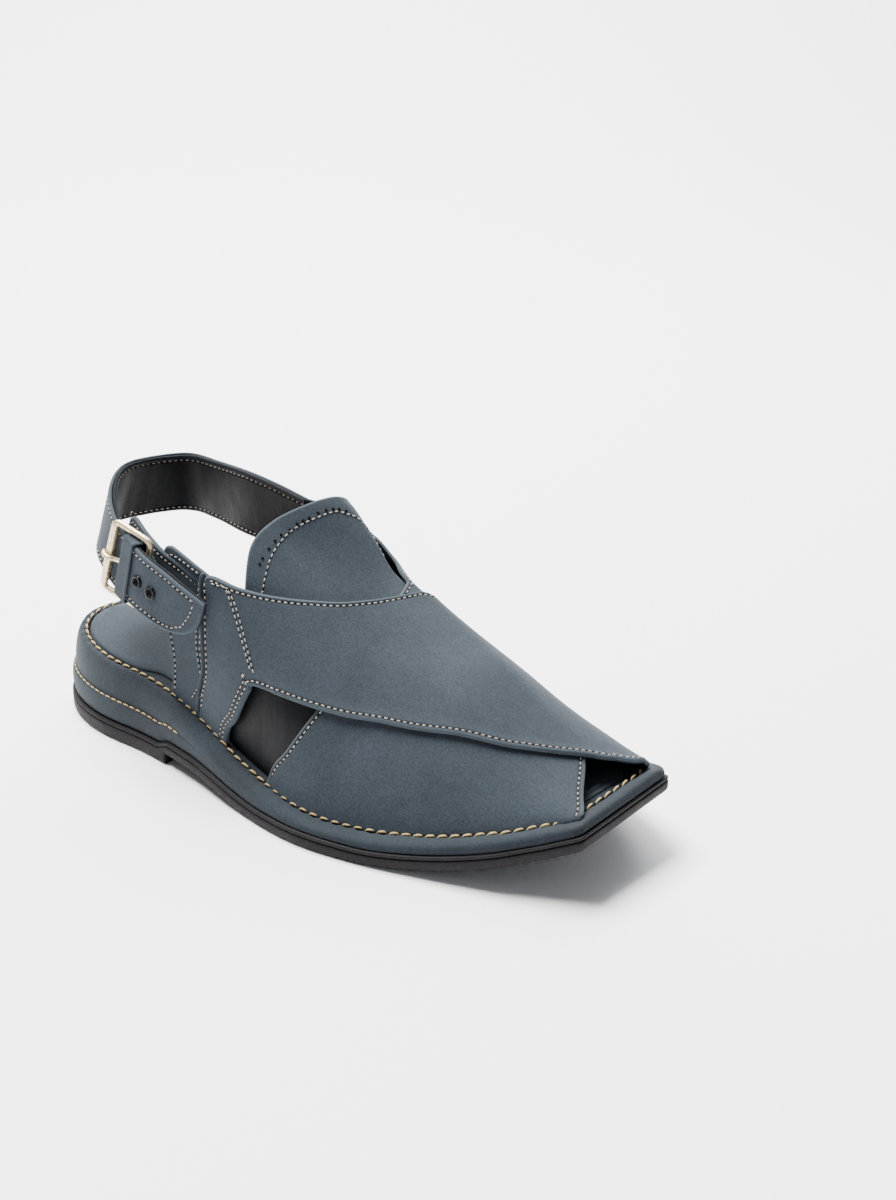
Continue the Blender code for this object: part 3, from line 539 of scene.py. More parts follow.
def add_node(tree, kind, values=None, **settings):
    """A shader node with its settings, and values or links for its sockets."""
    node = tree.nodes.new("ShaderNode" + kind)
    for name, setting in settings.items():
        setattr(node, name, setting)
    fill_sockets(tree, node, values or {})
    return node


def start_material(name):
    """An empty material with a Principled shader and the object's own coordinates."""
    material = bpy.data.materials.new(name)
    material.use_nodes = True
    tree = material.node_tree
    shader = tree.nodes["Principled BSDF"]
    place = add_node(tree, "TexCoord").outputs["Object"]
    return material, tree, shader, place


def cells(size):
    """A texture's scale whose cells are so many millimetres."""
    return 1000 / size


def mottled(tree, place, size, limits, dark, light, **noise):
    """Clouds of so many millimetres, and a colour drifting with them from dark to light."""
    values = {"Vector": place, "Scale": cells(size)}
    values.update({name.title(): value for name, value in noise.items()})
    cloud = add_node(tree, "TexNoise", values).outputs["Fac"]
    worn = add_node(tree, "MapRange", {"Value": cloud, "From Min": limits[0], "From Max": limits[1]})
    colour = add_node(tree, "Mix", {0: worn.outputs[0], 6: dark, 7: light}, data_type="RGBA")
    return cloud, colour.outputs[2]


def tinted(tree, colour, field, limits, most, hex_colour):
    """The colour, turning to another where the mesh's field rises between two limits."""
    amount = add_node(tree, "Attribute", attribute_name=field).outputs["Fac"]
    share = add_node(
        tree, "MapRange", {"Value": amount, "From Min": limits[0], "From Max": limits[1], "To Max": most}
    )
    mixed = add_node(tree, "Mix", {0: share.outputs[0], 6: colour, 7: linear(hex_colour)}, data_type="RGBA")
    return mixed.outputs[2]


def nubuck_material(name, light, dark):
    """Nubuck, its grain side buffed to a short nap: matt, soft at glancing angles, darker where pressed, with
    painted shade along its stitch grooves.
    """
    material, tree, shader, place = start_material(name)
    cloud, colour = mottled(tree, place, 26, (0.35, 0.68), dark, light, detail=3.0)
    brushed = add_node(tree, "Mapping", {"Vector": place, "Scale": (1.0, 2.0, 1.0)}).outputs[0]
    drift = add_node(
        tree, "TexNoise", {"Vector": brushed, "Scale": cells(5), "Detail": 3.0, "Roughness": 0.6}
    ).outputs["Fac"]
    # The nap's tufts are about 0.4 mm in real life, drawn larger so that they show
    nap = add_node(
        tree, "TexNoise", {"Vector": place, "Scale": cells(0.8), "Detail": 2.0, "Roughness": 0.7}
    ).outputs["Fac"]
    speck = add_node(
        tree, "MapRange", {"Value": nap, "From Min": 0.33, "From Max": 0.67, "To Min": 0.74, "To Max": 1.24}
    )
    streak = add_node(
        tree, "MapRange", {"Value": drift, "From Min": 0.3, "From Max": 0.7, "To Min": 0.93, "To Max": 1.05}
    )
    shade = add_node(tree, "Math", {0: speck.outputs[0], 1: streak.outputs[0]}, operation="MULTIPLY")
    colour = add_node(
        tree, "Mix", {0: 1.0, 6: colour, 7: shade.outputs[0]}, data_type="RGBA", blend_type="MULTIPLY"
    ).outputs[2]
    colour = tinted(tree, colour, "edge", (0.25, 1.5), 0.9, "414a51")
    # Near black along the stitch grooves: painted shade in the groove, over the pressed nap's own darker
    # tone.
    colour = tinted(tree, colour, "seam", (0.0, 1.1), 1.0, "0b0d10")
    rough = add_node(tree, "MapRange", {"Value": cloud, "To Min": 0.78, "To Max": 0.94})
    tufts = add_node(tree, "Bump", {"Height": nap, "Distance": 0.00022, "Strength": 0.6})
    pores = add_node(tree, "TexNoise", {"Vector": place, "Scale": cells(1.7), "Detail": 1.0}).outputs["Fac"]
    grain = add_node(
        tree, "Bump", {"Height": pores, "Distance": 0.00025, "Strength": 0.35, "Normal": tufts.outputs[0]}
    )
    waves = add_node(
        tree, "Bump", {"Height": drift, "Distance": 0.0005, "Strength": 0.2, "Normal": grain.outputs[0]}
    )
    fill_sockets(tree, shader, {
        "Base Color": colour, "Roughness": rough.outputs[0], "Specular IOR Level": 0.22, "Sheen Weight": 0.12,
        "Sheen Roughness": 0.45, "Sheen Tint": linear("b4bcc4"), "Normal": waves.outputs[0],
    })
    return material


def lining_material(name, light, dark):
    """Smooth finished lining leather: a faint gloss over fine pebble grain, with soft drawn creases."""
    material, tree, shader, place = start_material(name)
    _, colour = mottled(tree, place, 18, (0.30, 0.72), dark, light, detail=3.0, roughness=0.6)
    colour = tinted(tree, colour, "edge", (0.1, 1.3), 0.8, "1a1f25")
    colour = tinted(tree, colour, "seam", (0.0, 1.2), 1.0, "121316")
    pebble = add_node(tree, "TexVoronoi", {"Vector": place, "Scale": cells(0.9)}).outputs["Distance"]
    pulled = add_node(tree, "Mapping", {"Vector": place, "Scale": (1.0, 1.0, 0.28)}).outputs[0]
    drawn = add_node(
        tree,
        "TexNoise",
        {"Vector": pulled, "Scale": cells(5), "Detail": 3.0, "Roughness": 0.6, "Distortion": 0.6},
    ).outputs["Fac"]
    rough = add_node(tree, "MapRange", {"Value": drawn, "To Min": 0.42, "To Max": 0.66})
    fine = add_node(tree, "Bump", {"Height": pebble, "Distance": 0.00012, "Strength": 0.45})
    creases = add_node(
        tree, "Bump", {"Height": drawn, "Distance": 0.0008, "Strength": 0.35, "Normal": fine.outputs[0]}
    )
    fill_sockets(tree, shader, {
        "Base Color": colour, "Roughness": rough.outputs[0], "Specular IOR Level": 0.12, "Coat Weight": 0.01,
        "Coat Roughness": 0.35, "Normal": creases.outputs[0],
    })
    return material


def rubber_material(name, light, dark):
    """Moulded then buffed sole rubber: matt and nearly black, with a fine tooth and paler scuffed patches."""
    material, tree, shader, place = start_material(name)
    cloud, colour = mottled(tree, place, 16, (0.35, 0.75), dark, light, detail=4.0, roughness=0.6)
    tooth = add_node(
        tree, "TexNoise", {"Vector": place, "Scale": cells(0.9), "Detail": 3.0, "Roughness": 0.7}
    ).outputs["Fac"]
    dusty = add_node(tree, "MapRange", {"Value": tooth, "From Min": 0.50, "From Max": 0.80})
    colour = add_node(
        tree, "Mix", {0: dusty.outputs[0], 6: colour, 7: linear("232125")}, data_type="RGBA"
    ).outputs[2]
    rough = add_node(tree, "MapRange", {"Value": cloud, "To Min": 0.55, "To Max": 0.82})
    fine = add_node(tree, "Bump", {"Height": tooth, "Distance": 0.0003, "Strength": 0.5})
    scuffs = add_node(
        tree, "Bump", {"Height": cloud, "Distance": 0.0006, "Strength": 0.3, "Normal": fine.outputs[0]}
    )
    fill_sockets(tree, shader, {
        "Base Color": colour, "Roughness": rough.outputs[0], "Specular IOR Level": 0.18,
        "Normal": scuffs.outputs[0],
    })
    return material


def brass_material(name, bright, patina):
    """Die-cast buckle with antique brass plating: rubbed bright on top, brown patina left in the pits."""
    material, tree, shader, place = start_material(name)
    pits, colour = mottled(tree, place, 1.1, (0.48, 0.34), bright, patina, detail=4.0, roughness=0.7)
    rough = add_node(tree, "MapRange", {"Value": pits, "To Min": 0.58, "To Max": 0.30})
    cast = add_node(tree, "Bump", {"Height": pits, "Distance": 0.0003, "Strength": 0.4})
    fill_sockets(tree, shader, {
        "Base Color": colour, "Metallic": 1.0, "Roughness": rough.outputs[0], "Normal": cast.outputs[0],
    })
    return material


def metal_material(name, colour):
    """Black oxide on a rolled steel eyelet: dark, with a soft gleam on its rim."""
    material, tree, shader, place = start_material(name)
    _, shade = mottled(tree, place, 1.1, (0.5, 0.9), colour, linear("4a4a4d"), detail=2.0, roughness=0.6)
    fill_sockets(tree, shader, {"Base Color": shade, "Metallic": 1.0, "Roughness": 0.34})
    return material


def thread_material(name, colour):
    """Bonded polyester thread: matt with a little lustre, and shaded between its twisted plies."""
    material, tree, shader, place = start_material(name)
    ply = add_node(tree, "TexNoise", {"Vector": place, "Scale": cells(0.5), "Detail": 1.0}).outputs["Fac"]
    twist = add_node(
        tree, "MapRange", {"Value": ply, "From Min": 0.30, "From Max": 0.62, "To Min": 0.62, "To Max": 1.0}
    )
    shade = add_node(
        tree, "Mix", {0: 1.0, 6: colour, 7: twist.outputs[0]}, data_type="RGBA", blend_type="MULTIPLY"
    )
    plies = add_node(tree, "Bump", {"Height": ply, "Distance": 0.00012, "Strength": 0.6})
    fill_sockets(tree, shader, {
        "Base Color": shade.outputs[2], "Roughness": 0.62, "Sheen Weight": 0.2, "Normal": plies.outputs[0],
    })
    return material


def dark_material(name, colour):
    """Near black and matt: painted shade down needle holes and pinholes, in eyelet bores and in the rim's
    crease; also the keeper's inner face.
    """
    material, tree, shader, place = start_material(name)
    speck = add_node(tree, "TexNoise", {"Vector": place, "Scale": cells(1.1), "Detail": 2.0})
    shade = add_node(tree, "Mix", {0: speck.outputs["Fac"], 6: colour, 7: linear("08090a")}, data_type="RGBA")
    fill_sockets(tree, shader, {"Base Color": shade.outputs[2], "Roughness": 0.95, "Specular IOR Level": 0.1})
    return material


def floor_material(name, colour):
    """Painted studio sweep: matt, near white, with the faintest mottle."""
    material, tree, shader, place = start_material(name)
    cloud = add_node(tree, "TexNoise", {"Vector": place, "Scale": cells(500), "Detail": 2.0})
    shade = add_node(tree, "Mix", {0: cloud.outputs["Fac"], 6: colour, 7: linear("f1f2f5")}, data_type="RGBA")
    fill_sockets(tree, shader, {"Base Color": shade.outputs[2], "Roughness": 0.7, "Specular IOR Level": 0.2})
    return material


# Each finish: its maker and the panel's colours that it takes
FINISH_MAKERS = {
    "slate_nubuck": (nubuck_material, "nubuck_light", "nubuck_dark"),
    # A darker copy of the slate nubuck for the wrapped wedge: painted shade on the wedge's sides.
    "wrap_nubuck": (nubuck_material, "wrap_light_painted_shade", "wrap_dark_painted_shade"),
    "smooth_lining": (lining_material, "lining_light", "lining_dark"),
    "dark_rubber": (rubber_material, "rubber_light", "rubber_dark"),
    "antique_brass": (brass_material, "brass", "patina"),
    "black_eyelet": (metal_material, "eyelet"),
    "pale_thread": (thread_material, "pale_thread"),
    "gold_thread": (thread_material, "gold_thread"),
    # Near black: painted shade in needle holes, pinholes, eyelet bores and the rim's crease
    "needle_hole": (dark_material, "shade"),
    "cut_edge": (dark_material, "cut_edge"),
    "studio_floor": (floor_material, "floor"),
}
FINISHES = {}


def finish_of(name):
    """Makes each finish once, from the panel's colours."""
    if name not in FINISHES:
        maker, *fields = FINISH_MAKERS[name]
        colours = bpy.context.scene.chappal_colours
        FINISHES[name] = maker(name, *(tuple(getattr(colours, field)) for field in fields))
    return FINISHES[name]


def new_form(name, points, quads, finishes, slots=None, fields=None):
    """A smooth mesh object from points and four-cornered faces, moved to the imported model's place."""
    mesh = bpy.data.meshes.new(name)
    mesh.vertices.add(len(points))
    mesh.vertices.foreach_set("co", (points + ORIGIN).astype(np.float32).ravel())
    mesh.loops.add(quads.size)
    mesh.loops.foreach_set("vertex_index", quads.astype(np.int32).ravel())
    mesh.polygons.add(len(quads))
    mesh.polygons.foreach_set("loop_start", np.arange(0, quads.size, 4, dtype=np.int32))
    mesh.polygons.foreach_set("loop_total", np.full(len(quads), 4, np.int32))
    mesh.polygons.foreach_set("use_smooth", np.ones(len(quads), bool))
    for finish in finishes:
        mesh.materials.append(finish_of(finish))
    if slots is not None:
        mesh.polygons.foreach_set("material_index", slots.astype(np.int32))
    mesh.update(calc_edges=True)
    mesh.validate()
    for field, values in (fields or {}).items():
        layer = mesh.attributes.new(field, "FLOAT", "POINT")
        layer.data.foreach_set("value", values.astype(np.float32).ravel())
    item = bpy.data.objects.new(name, mesh)
    bpy.context.scene.collection.objects.link(item)
    return item


def settle(item, slot, *nodes):
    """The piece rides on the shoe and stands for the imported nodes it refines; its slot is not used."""
    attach(item, "root")
    if nodes:
        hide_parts(*nodes)
    return item


def index_quads(index):
    """Four-cornered faces between the neighbours in a grid of point numbers."""
    corners = (index[:-1, :-1], index[1:, :-1], index[1:, 1:], index[:-1, 1:])
    return np.stack(corners, axis=-1).reshape(-1, 4)


def ring_quads(index):
    """The same for rows that are rings."""
    return index_quads(np.concatenate([index, index[:, :1]], axis=1))


def unit(vectors):
    return vectors / np.maximum(np.linalg.norm(vectors, axis=-1, keepdims=True), 1e-12)


def lengths_along(points):
    """Running length of a polyline."""
    steps = np.linalg.norm(np.diff(points, axis=0), axis=1)
    return np.concatenate([[0.0], np.cumsum(steps)])


def at_lengths(points, places, values=None):
    """Values read along a polyline at running lengths, straight between its points."""
    run = lengths_along(points)
    values = points if values is None else values
    return np.stack([np.interp(places, run, values[:, k]) for k in range(values.shape[1])], axis=1)


def outward_quads(points, quads, outward):
    """The faces, turned round where most of them look away from the wanted directions."""
    a, b, d = (points[quads[:, k]] for k in (0, 1, 3))
    facing = (np.cross(b - a, d - a) * outward[quads[:, 0]]).sum()
    return quads if facing > 0 else quads[:, ::-1]


def last_point(along, girth):
    """The last's surface: a superellipse across each section, carried straight down below the rim."""
    along, girth = np.broadcast_arrays(np.asarray(along, float), np.asarray(girth, float))
    x = along * SOLE_LENGTH
    crest = INSTEP_HEIGHT * column(LAST_ROWS, LAST_COLUMNS, "crest", along)
    ridge = BALL_WIDTH * column(LAST_ROWS, LAST_COLUMNS, "ridge", along)
    power = 2 / column(LAST_ROWS, LAST_COLUMNS, "fullness", along)
    base = rim_height(x)
    angle = np.clip(girth, 0, 1) * np.pi
    reach_lateral = half_width(along, -1) - RIM_INSET + ridge
    reach_medial = half_width(along, 1) - RIM_INSET - ridge
    across = np.sign(np.cos(angle)) * np.abs(np.cos(angle)) ** power
    up = np.abs(np.sin(angle)) ** power
    y = ridge - across * np.where(across > 0, reach_lateral, reach_medial)
    below = np.minimum(girth, 0) + np.minimum(1 - girth, 0)
    z = base + (crest - base) * up + below * 2 * BALL_WIDTH
    return np.stack([x, y, z], axis=-1)


def last_normal(along, girth):
    step = 0.004
    ahead = last_point(along + step, girth) - last_point(along - step, girth)
    half = 0.5 * step
    girth = np.clip(girth, half, 1 - half)
    turn = last_point(along, girth + half) - last_point(along, girth - half)
    return unit(np.cross(ahead, turn))


def foot_flare(along, girth):
    """The leather turns out where it meets the rim: FLARE * exp(-height over the rim / FLARE_HEIGHT)."""
    height = last_point(along, girth)[..., 2] - rim_height(np.asarray(along) * SOLE_LENGTH)
    return FLARE * np.exp(-np.clip(height, 0, None) / FLARE_HEIGHT)


def soft_waves(along, girth, size, seed):
    """Slow hand-made unevenness: three crossing sine waves of some centimetres."""
    a = along * SOLE_LENGTH
    g = girth * 2 * BALL_WIDTH
    waves = (
        np.sin(a * 95 + g * 40 + seed)
        + 0.7 * np.sin(a * 170 - g * 120 + 2.1 * seed)
        + 0.45 * np.sin(a * 60 + g * 230 + 0.7 * seed)
    )
    return size * waves / 2.15


def medial_stand(along, girth):
    """The medial wall stands off the last by STRAP_STAND, eased in along, at the crest and at the foot."""
    start, length = STAND_ALONG
    crest, climb = STAND_CREST
    foot, fall = STAND_FOOT
    free = ease((start - along) / length) * ease((girth - crest) / climb) * ease((foot - girth) / fall)
    return STRAP_STAND * free


def under_lift(along, girth):
    return medial_stand(along, girth) + foot_flare(along, girth)


def top_lift(along, girth):
    """The top strap climbs from the rim onto the under strap."""
    side = np.minimum(girth, 1 - girth)
    return SEAM_STEP + (TOP_LIFT - SEAM_STEP) * ease(side / TOP_CLIMB) + medial_stand(along, girth)


def quarter_lift(along, girth):
    return medial_stand(along, girth) - SEAM_STEP


def lining_lift(along, girth):
    return medial_stand(along, girth) - LINING_DEPTH


def tongue_lift(along, girth):
    """Under the upper all round, and standing up by TONGUE_RISE where it is free behind the throat."""
    rim = np.array(UNDER_STRAP_ROWS)[THROAT_FIRST : THROAT_LAST + 1, 2:]
    start, length = TONGUE_ALONG
    crest, climb = TONGUE_CREST
    inside = np.interp(along, rim[:, 0], rim[:, 1]) - girth
    free = ease((start - along) / length) * ease((girth - crest) / climb) * ease(inside / TONGUE_RIM)
    return TONGUE_RISE * free - TONGUE_DEPTH


def last_sheet(rows, lift):
    """A sheet on the last: u runs from the front edge to the rear edge, v from the first row to the last."""

    def surface(u, v):
        u, v = np.broadcast_arrays(u, v)
        table = smooth_table(rows, v)
        along = table[..., 0] * (1 - u) + table[..., 2] * u
        girth = table[..., 1] * (1 - u) + table[..., 3] * u
        normal = last_normal(along, girth)
        return last_point(along, girth) + normal * lift(along, girth)[..., None], normal

    return surface


def strap_point(place, share, out=0.0):
    """The heel strap's middle surface: share 0 is its upper edge, 1 its lower; out is along the normal."""
    place, share = np.broadcast_arrays(np.asarray(place, float), np.asarray(share, float))

    def at(where):
        row = smooth_table(STRAP_ROWS, where)
        edges = []
        for first in (0, 3):
            side = np.where(row[..., first + 1] > 0, 1.0, -1.0)
            along = row[..., first]
            reach = np.where(side > 0, half_width(along, 1), half_width(along, -1)) - RIM_INSET
            spot = (along * SOLE_LENGTH, reach * row[..., first + 1], STRAP_HEIGHT * row[..., first + 2])
            edges.append(np.stack(spot, axis=-1))
        return edges

    top, low = at(place)
    ahead_top, ahead_low = at(place + 0.004)
    back_top, back_low = at(place - 0.004)
    part = share[..., None]
    middle = top * (1 - part) + low * part
    run = (ahead_top - back_top) * (1 - part) + (ahead_low - back_low) * part
    normal = unit(np.cross(low - top, run))
    return middle + normal * np.asarray(out)[..., None]


def strap_normal(place, share):
    return unit(strap_point(place, share, 0.001) - strap_point(place, share, -0.001))


def strap_width(place):
    return float(np.linalg.norm(strap_point(place, 1.0) - strap_point(place, 0.0)))


def strap_run(place):
    return float(np.linalg.norm(strap_point(place + 0.01, 0.5) - strap_point(place - 0.01, 0.5))) / 0.02


def edge_reach(surface, v, side):
    """Metres of distance from an edge for each unit of u, square to that edge."""
    small = 0.004
    at_edge = np.full_like(v, float(side))
    inside = at_edge + (small if side == 0 else -small)
    edge = surface(at_edge, v)[0]
    across = (surface(inside, v)[0] - edge) / small
    tangent = unit(np.gradient(edge, axis=0))
    return np.linalg.norm(across - tangent * (across * tangent).sum(axis=-1, keepdims=True), axis=-1)


def even_places(surface, step, ends):
    """Places along v a step apart on the middle line, with closer ones near an end that shows."""
    dense = np.linspace(0, 1, 600)
    edges = [lengths_along(surface(np.full_like(dense, u), dense)[0]) for u in (0.0, 0.5, 1.0)]
    run = np.max(edges, axis=0)
    count = int(run[-1] / step)
    places = np.linspace(0, run[-1], count)
    near = EDGE_LINES[EDGE_LINES < 0.005]
    if ends[0]:
        places = np.concatenate([near, places[places > near[-1] + step / 2]])
    if ends[1]:
        places = np.concatenate([places[places < run[-1] - near[-1] - step / 2], run[-1] - near[::-1]])
    return np.interp(places, run, dense), places, run[-1] - places


def sheet_u(surface, v, middle):
    """Each row's places across: lines at fixed distances from both edges, and even ones between."""
    front = edge_reach(surface, v, 0)
    rear = edge_reach(surface, v, 1)
    near = EDGE_LINES[None, :] / front[:, None]
    far = EDGE_LINES[None, :] / rear[:, None]
    squeeze = np.minimum(1.0, 0.94 / (near[:, -1] + far[:, -1]))[:, None]
    near = near * squeeze
    far = 1 - far * squeeze
    share = np.linspace(0, 1, middle + 2)[1:-1][None, :]
    between = near[:, -1:] * (1 - share) + far[:, -1:] * share
    u = np.concatenate([near, between, far[:, ::-1]], axis=1)
    return u, u * front[:, None], (1 - u) * rear[:, None]


def seam_mask(v, span):
    """1 along a seam's stretch of v, easing to 0 just past its ends."""
    return ease((v - span[0]) / 0.012 + 0.5) * ease((span[1] - v) / 0.012 + 0.5)


def leather_sheet(
    name, surface, wall, finishes, seams=(), step=0.0009, middle=24, ends=(False, False), relief=None,
    edge_round=0.0011,
):
    """A turned-edge panel: the surface is its outer face, and the wall goes inwards.

    Near an edge at distance d its thickness is wall * sqrt(1 - (1 - d / r)^2), at least a third of the wall.
    Each seam (side, distance, first v, last v) presses a groove of bell shape into the outer face.
    """
    v, from_start, to_end = even_places(surface, step, ends)
    u, from_front, to_rear = sheet_u(surface, v, middle)
    rows = v[:, None] + 0 * u
    points, normals = surface(u, rows)
    nearest = np.minimum(from_front, to_rear)
    for free, distance in zip(ends, (from_start, to_end)):
        if free:
            nearest = np.minimum(nearest, distance[:, None])
    fullness = np.sqrt(np.clip(1 - (1 - np.clip(nearest / edge_round, 0, 1)) ** 2, 0.10, 1))
    groove = np.zeros_like(u)
    swell = np.zeros_like(u)
    for side, distance, first, last in seams:
        away = from_front if side == "front" else to_rear
        along = seam_mask(rows, (first, last))
        groove = np.maximum(groove, bell(away - distance, GROOVE_WIDTH) * along)
        swell = np.maximum(swell, bell(away - distance * 0.5, distance * 0.42) * along)
    outer = -(1 - fullness) * wall / 2 - GROOVE_DEPTH * groove + SEAM_SWELL * swell
    inner = -wall + (1 - fullness) * wall / 2
    if relief is not None:
        shape = relief(u, rows, from_front, to_rear)
        outer = outer + shape
        inner = inner + shape
    faces = [(points + normals * out[..., None]).reshape(-1, 3) for out in (outer, inner)]
    everything = np.concatenate(faces)
    index = np.arange(u.size).reshape(u.shape)
    rim = np.concatenate([index[0], index[1:, -1], index[-1, -2::-1], index[-2:0:-1, 0]])
    outer_quads = index_quads(index)
    inner_quads = outer_quads[:, ::-1] + u.size
    strip = ring_quads(np.stack([rim, rim + u.size]))
    quads = np.concatenate([outer_quads, inner_quads, strip])
    if outward_quads(everything, outer_quads, normals.reshape(-1, 3)) is not outer_quads:
        quads = quads[:, ::-1]
    slots = np.zeros(len(quads))
    slots[len(outer_quads) : 2 * len(outer_quads)] = len(finishes) - 1
    rubbed = bell(nearest, 0.0013)
    # The seam field is the groove mask; the nubuck paints shade along it from this field.
    fields = {"edge": np.concatenate([rubbed, rubbed]), "seam": np.concatenate([groove, groove])}
    return new_form(name, everything, quads, finishes, slots, fields)


def seam_path(surface, side, distance, first, last, out=-SEAM_DEPTH):
    """Points and normals along a seam, at a distance from one edge of a sheet."""
    v = np.linspace(first, last, SEAM_POINTS)
    whole = np.linspace(0, 1, SEAM_POINTS)
    reach = np.interp(v, whole, edge_reach(surface, whole, int(side == "rear")))
    u = distance / reach if side == "front" else 1 - distance / reach
    points, normals = surface(u, v)
    return points + normals * out, normals


def stitches(path, normals, pitch, length, radius, phase=0.5, slant=0.0, sink=0.25, closed=False):
    """Thread seen between needle holes: capsules along a path, humped in the middle and sunk at both ends.

    Along a stitch, x from -1 to 1, its height is radius * (1 - x^4 * 1.3 - sink), its girth a superellipse.
    """
    total = lengths_along(path)[-1]
    count = max(1, int(round(total / pitch)))
    places = (np.arange(count) + phase) * total / count
    if not closed:
        places = places[(places > length / 2) & (places < total - length / 2)]
    centres = at_lengths(path, places)
    step = 0.0004
    after = at_lengths(path, np.minimum(places + step, total))
    ahead = unit(after - at_lengths(path, np.maximum(places - step, 0)))
    up = unit(at_lengths(path, places, normals))
    side = unit(np.cross(up, ahead))
    turned = ahead * np.cos(slant) + side * np.sin(slant)
    side = unit(np.cross(up, turned))
    rings = 7
    sides = 6
    x = np.linspace(-1, 1, rings)[:, None]
    angle = np.linspace(0, 2 * np.pi, sides, endpoint=False)[None, :]
    girth = radius * (1 - np.abs(x) ** 3.2 * 0.93) ** 0.8
    along = x * length / 2 + 0 * angle
    across = girth * np.cos(angle)
    height = girth * np.sin(angle) + radius * (1 - 1.3 * x**4 - sink)
    template = np.stack([along, across, height], axis=-1).reshape(-1, 3)
    points = (
        centres[:, None, :]
        + turned[:, None, :] * template[None, :, 0:1]
        + side[:, None, :] * template[None, :, 1:2]
        + up[:, None, :] * template[None, :, 2:3]
    )
    body = ring_quads(np.arange(rings * sides).reshape(rings, sides))
    caps = np.array(((0, 1, 2, 5), (2, 3, 4, 5)))
    one = np.concatenate([body, caps, caps[:, ::-1] + (rings - 1) * sides])
    shift = (np.arange(len(places)) * rings * sides)[:, None, None]
    return points.reshape(-1, 3), (one[None] + shift).reshape(-1, 4)


def join_forms(forms):
    """Several (points, faces) pairs as one."""
    points = []
    quads = []
    first = 0
    for spots, faces in forms:
        points.append(spots)
        quads.append(faces + first)
        first += len(spots)
    return np.concatenate(points), np.concatenate(quads)


def tube_form(path, radius, sides=10, closed=False, flat=1.0, normals=None, power=2.0):
    """A section carried along a path: r * (|cos|^n + |sin|^n)^(-1/n), round at power 2 and boxy above it."""
    path = np.asarray(path, float)
    radius = np.broadcast_to(radius, (len(path),))
    if closed:
        ahead = unit(np.roll(path, -1, axis=0) - np.roll(path, 1, axis=0))
    else:
        ahead = unit(np.gradient(path, axis=0))
    if normals is None:
        normals = np.tile((0.0, 0.0, 1.0), (len(path), 1))
    side = unit(np.cross(normals, ahead))
    up = unit(np.cross(ahead, side))
    angle = np.linspace(0, 2 * np.pi, sides, endpoint=False)[None, :, None]
    power = np.broadcast_to(power, (len(path),))[:, None, None]
    fill = (np.abs(np.cos(angle)) ** power + np.abs(np.sin(angle)) ** power) ** (-1 / power)
    ring = (side[:, None, :] * np.cos(angle) + up[:, None, :] * np.sin(angle) * flat) * fill
    points = (path[:, None, :] + ring * radius[:, None, None]).reshape(-1, 3)
    index = np.arange(len(points)).reshape(-1, sides)
    if closed:
        return points, ring_quads(np.concatenate([index, index[:1]]))[:, ::-1]
    centres = np.stack([path[0] - ahead[0] * radius[0] * 0.5, path[-1] + ahead[-1] * radius[-1] * 0.5])
    tips = centres[:, None, :] + ring[[0, -1]] * radius[[0, -1], None, None] * 0.35
    start, end = index.size + np.arange(2 * sides).reshape(2, sides)
    lids = [
        loop[[k, k + 1, sides - 2 - k, sides - 1 - k]][::turn]
        for loop, turn in ((start, 1), (end, -1))
        for k in range(sides // 2 - 1)
    ]
    quads = np.concatenate([ring_quads(np.concatenate([[start], index, [end]])), lids])
    return np.concatenate([points, tips.reshape(-1, 3)]), quads[:, ::-1]


def point_surface(place_at, outward=1.0):
    """A surface whose normals come from its own slopes: the cross product of the steps along u and v."""

    def surface(u, v):
        u, v = np.broadcast_arrays(np.asarray(u, float), np.asarray(v, float))
        small = 0.002
        low_u = np.clip(u - small, 0, 1)
        high_u = np.clip(u + small, 0, 1)
        low_v = np.clip(v - small, 0, 1)
        high_v = np.clip(v + small, 0, 1)
        across = place_at(high_u, v) - place_at(low_u, v)
        along = place_at(u, high_v) - place_at(u, low_v)
        return place_at(u, v), outward * unit(np.cross(across, along))

    return surface


def ring_stations(inset, corner):
    """Places along the sole, heel to toe, before the slant: close at the round heel, breast and toe."""
    back = inset(0.0)
    front = SOLE_LENGTH - inset(1.0)
    turn = np.linspace(0.03, np.pi / 2, HEEL_POINTS)
    heel = back + (HEEL_ROUND * SOLE_LENGTH - back) * (1 - np.cos(turn))
    breast = BREAST * SOLE_LENGTH
    beside = 0.00015
    waist = np.linspace(HEEL_ROUND * SOLE_LENGTH, breast - beside, WAIST_POINTS)[1:]
    sides = np.linspace(breast + beside, front - corner, SIDE_POINTS)
    bend = front - corner + corner * np.sin(np.linspace(0, np.pi / 2, CORNER_POINTS))[1:]
    return np.concatenate([heel, waist, sides, bend])


def sole_ring(inset, corner):
    """One ring round the sole: half width less the inset, a superellipse at the heel, square at the toe.

    Near the toe the width loses r - sqrt(r^2 - s^2), s being the way into the corner of radius r.
    """
    stations = ring_stations(inset, corner)
    along = stations / SOLE_LENGTH
    moved = inset(along)
    back = inset(0.0)
    front = SOLE_LENGTH - inset(1.0)
    short = np.clip((HEEL_ROUND * SOLE_LENGTH - stations) / (HEEL_ROUND * SOLE_LENGTH - back), 0, 1)
    heel = (1 - short**HEEL_POWER) ** (1 / HEEL_POWER)
    into = np.clip((stations - (front - corner)) / corner, 0, 1)
    loss = corner * (1 - np.sqrt(1 - into**2))
    sides = []
    for side in (-1, 1):
        width = raw_half_width(along, side)
        slope = (raw_half_width(along + 0.001, side) - width) / (0.001 * SOLE_LENGTH)
        reach = (width - moved * np.sqrt(1 + slope**2)) * heel - loss
        slant = TOE_SLANT * ease((along - 0.82) / 0.18) if side < 0 else 0 * along
        sides.append(np.column_stack([stations - slant, side * reach]))
    lateral, medial = sides
    share = np.linspace(0, 1, ACROSS_POINTS + 1)[1:-1, None]
    toe = lateral[-1] * (1 - share) + medial[-1] * share
    back_edge = medial[0] * (1 - share) + lateral[0] * share
    return np.concatenate([lateral, toe, medial[::-1], back_edge]), len(stations)


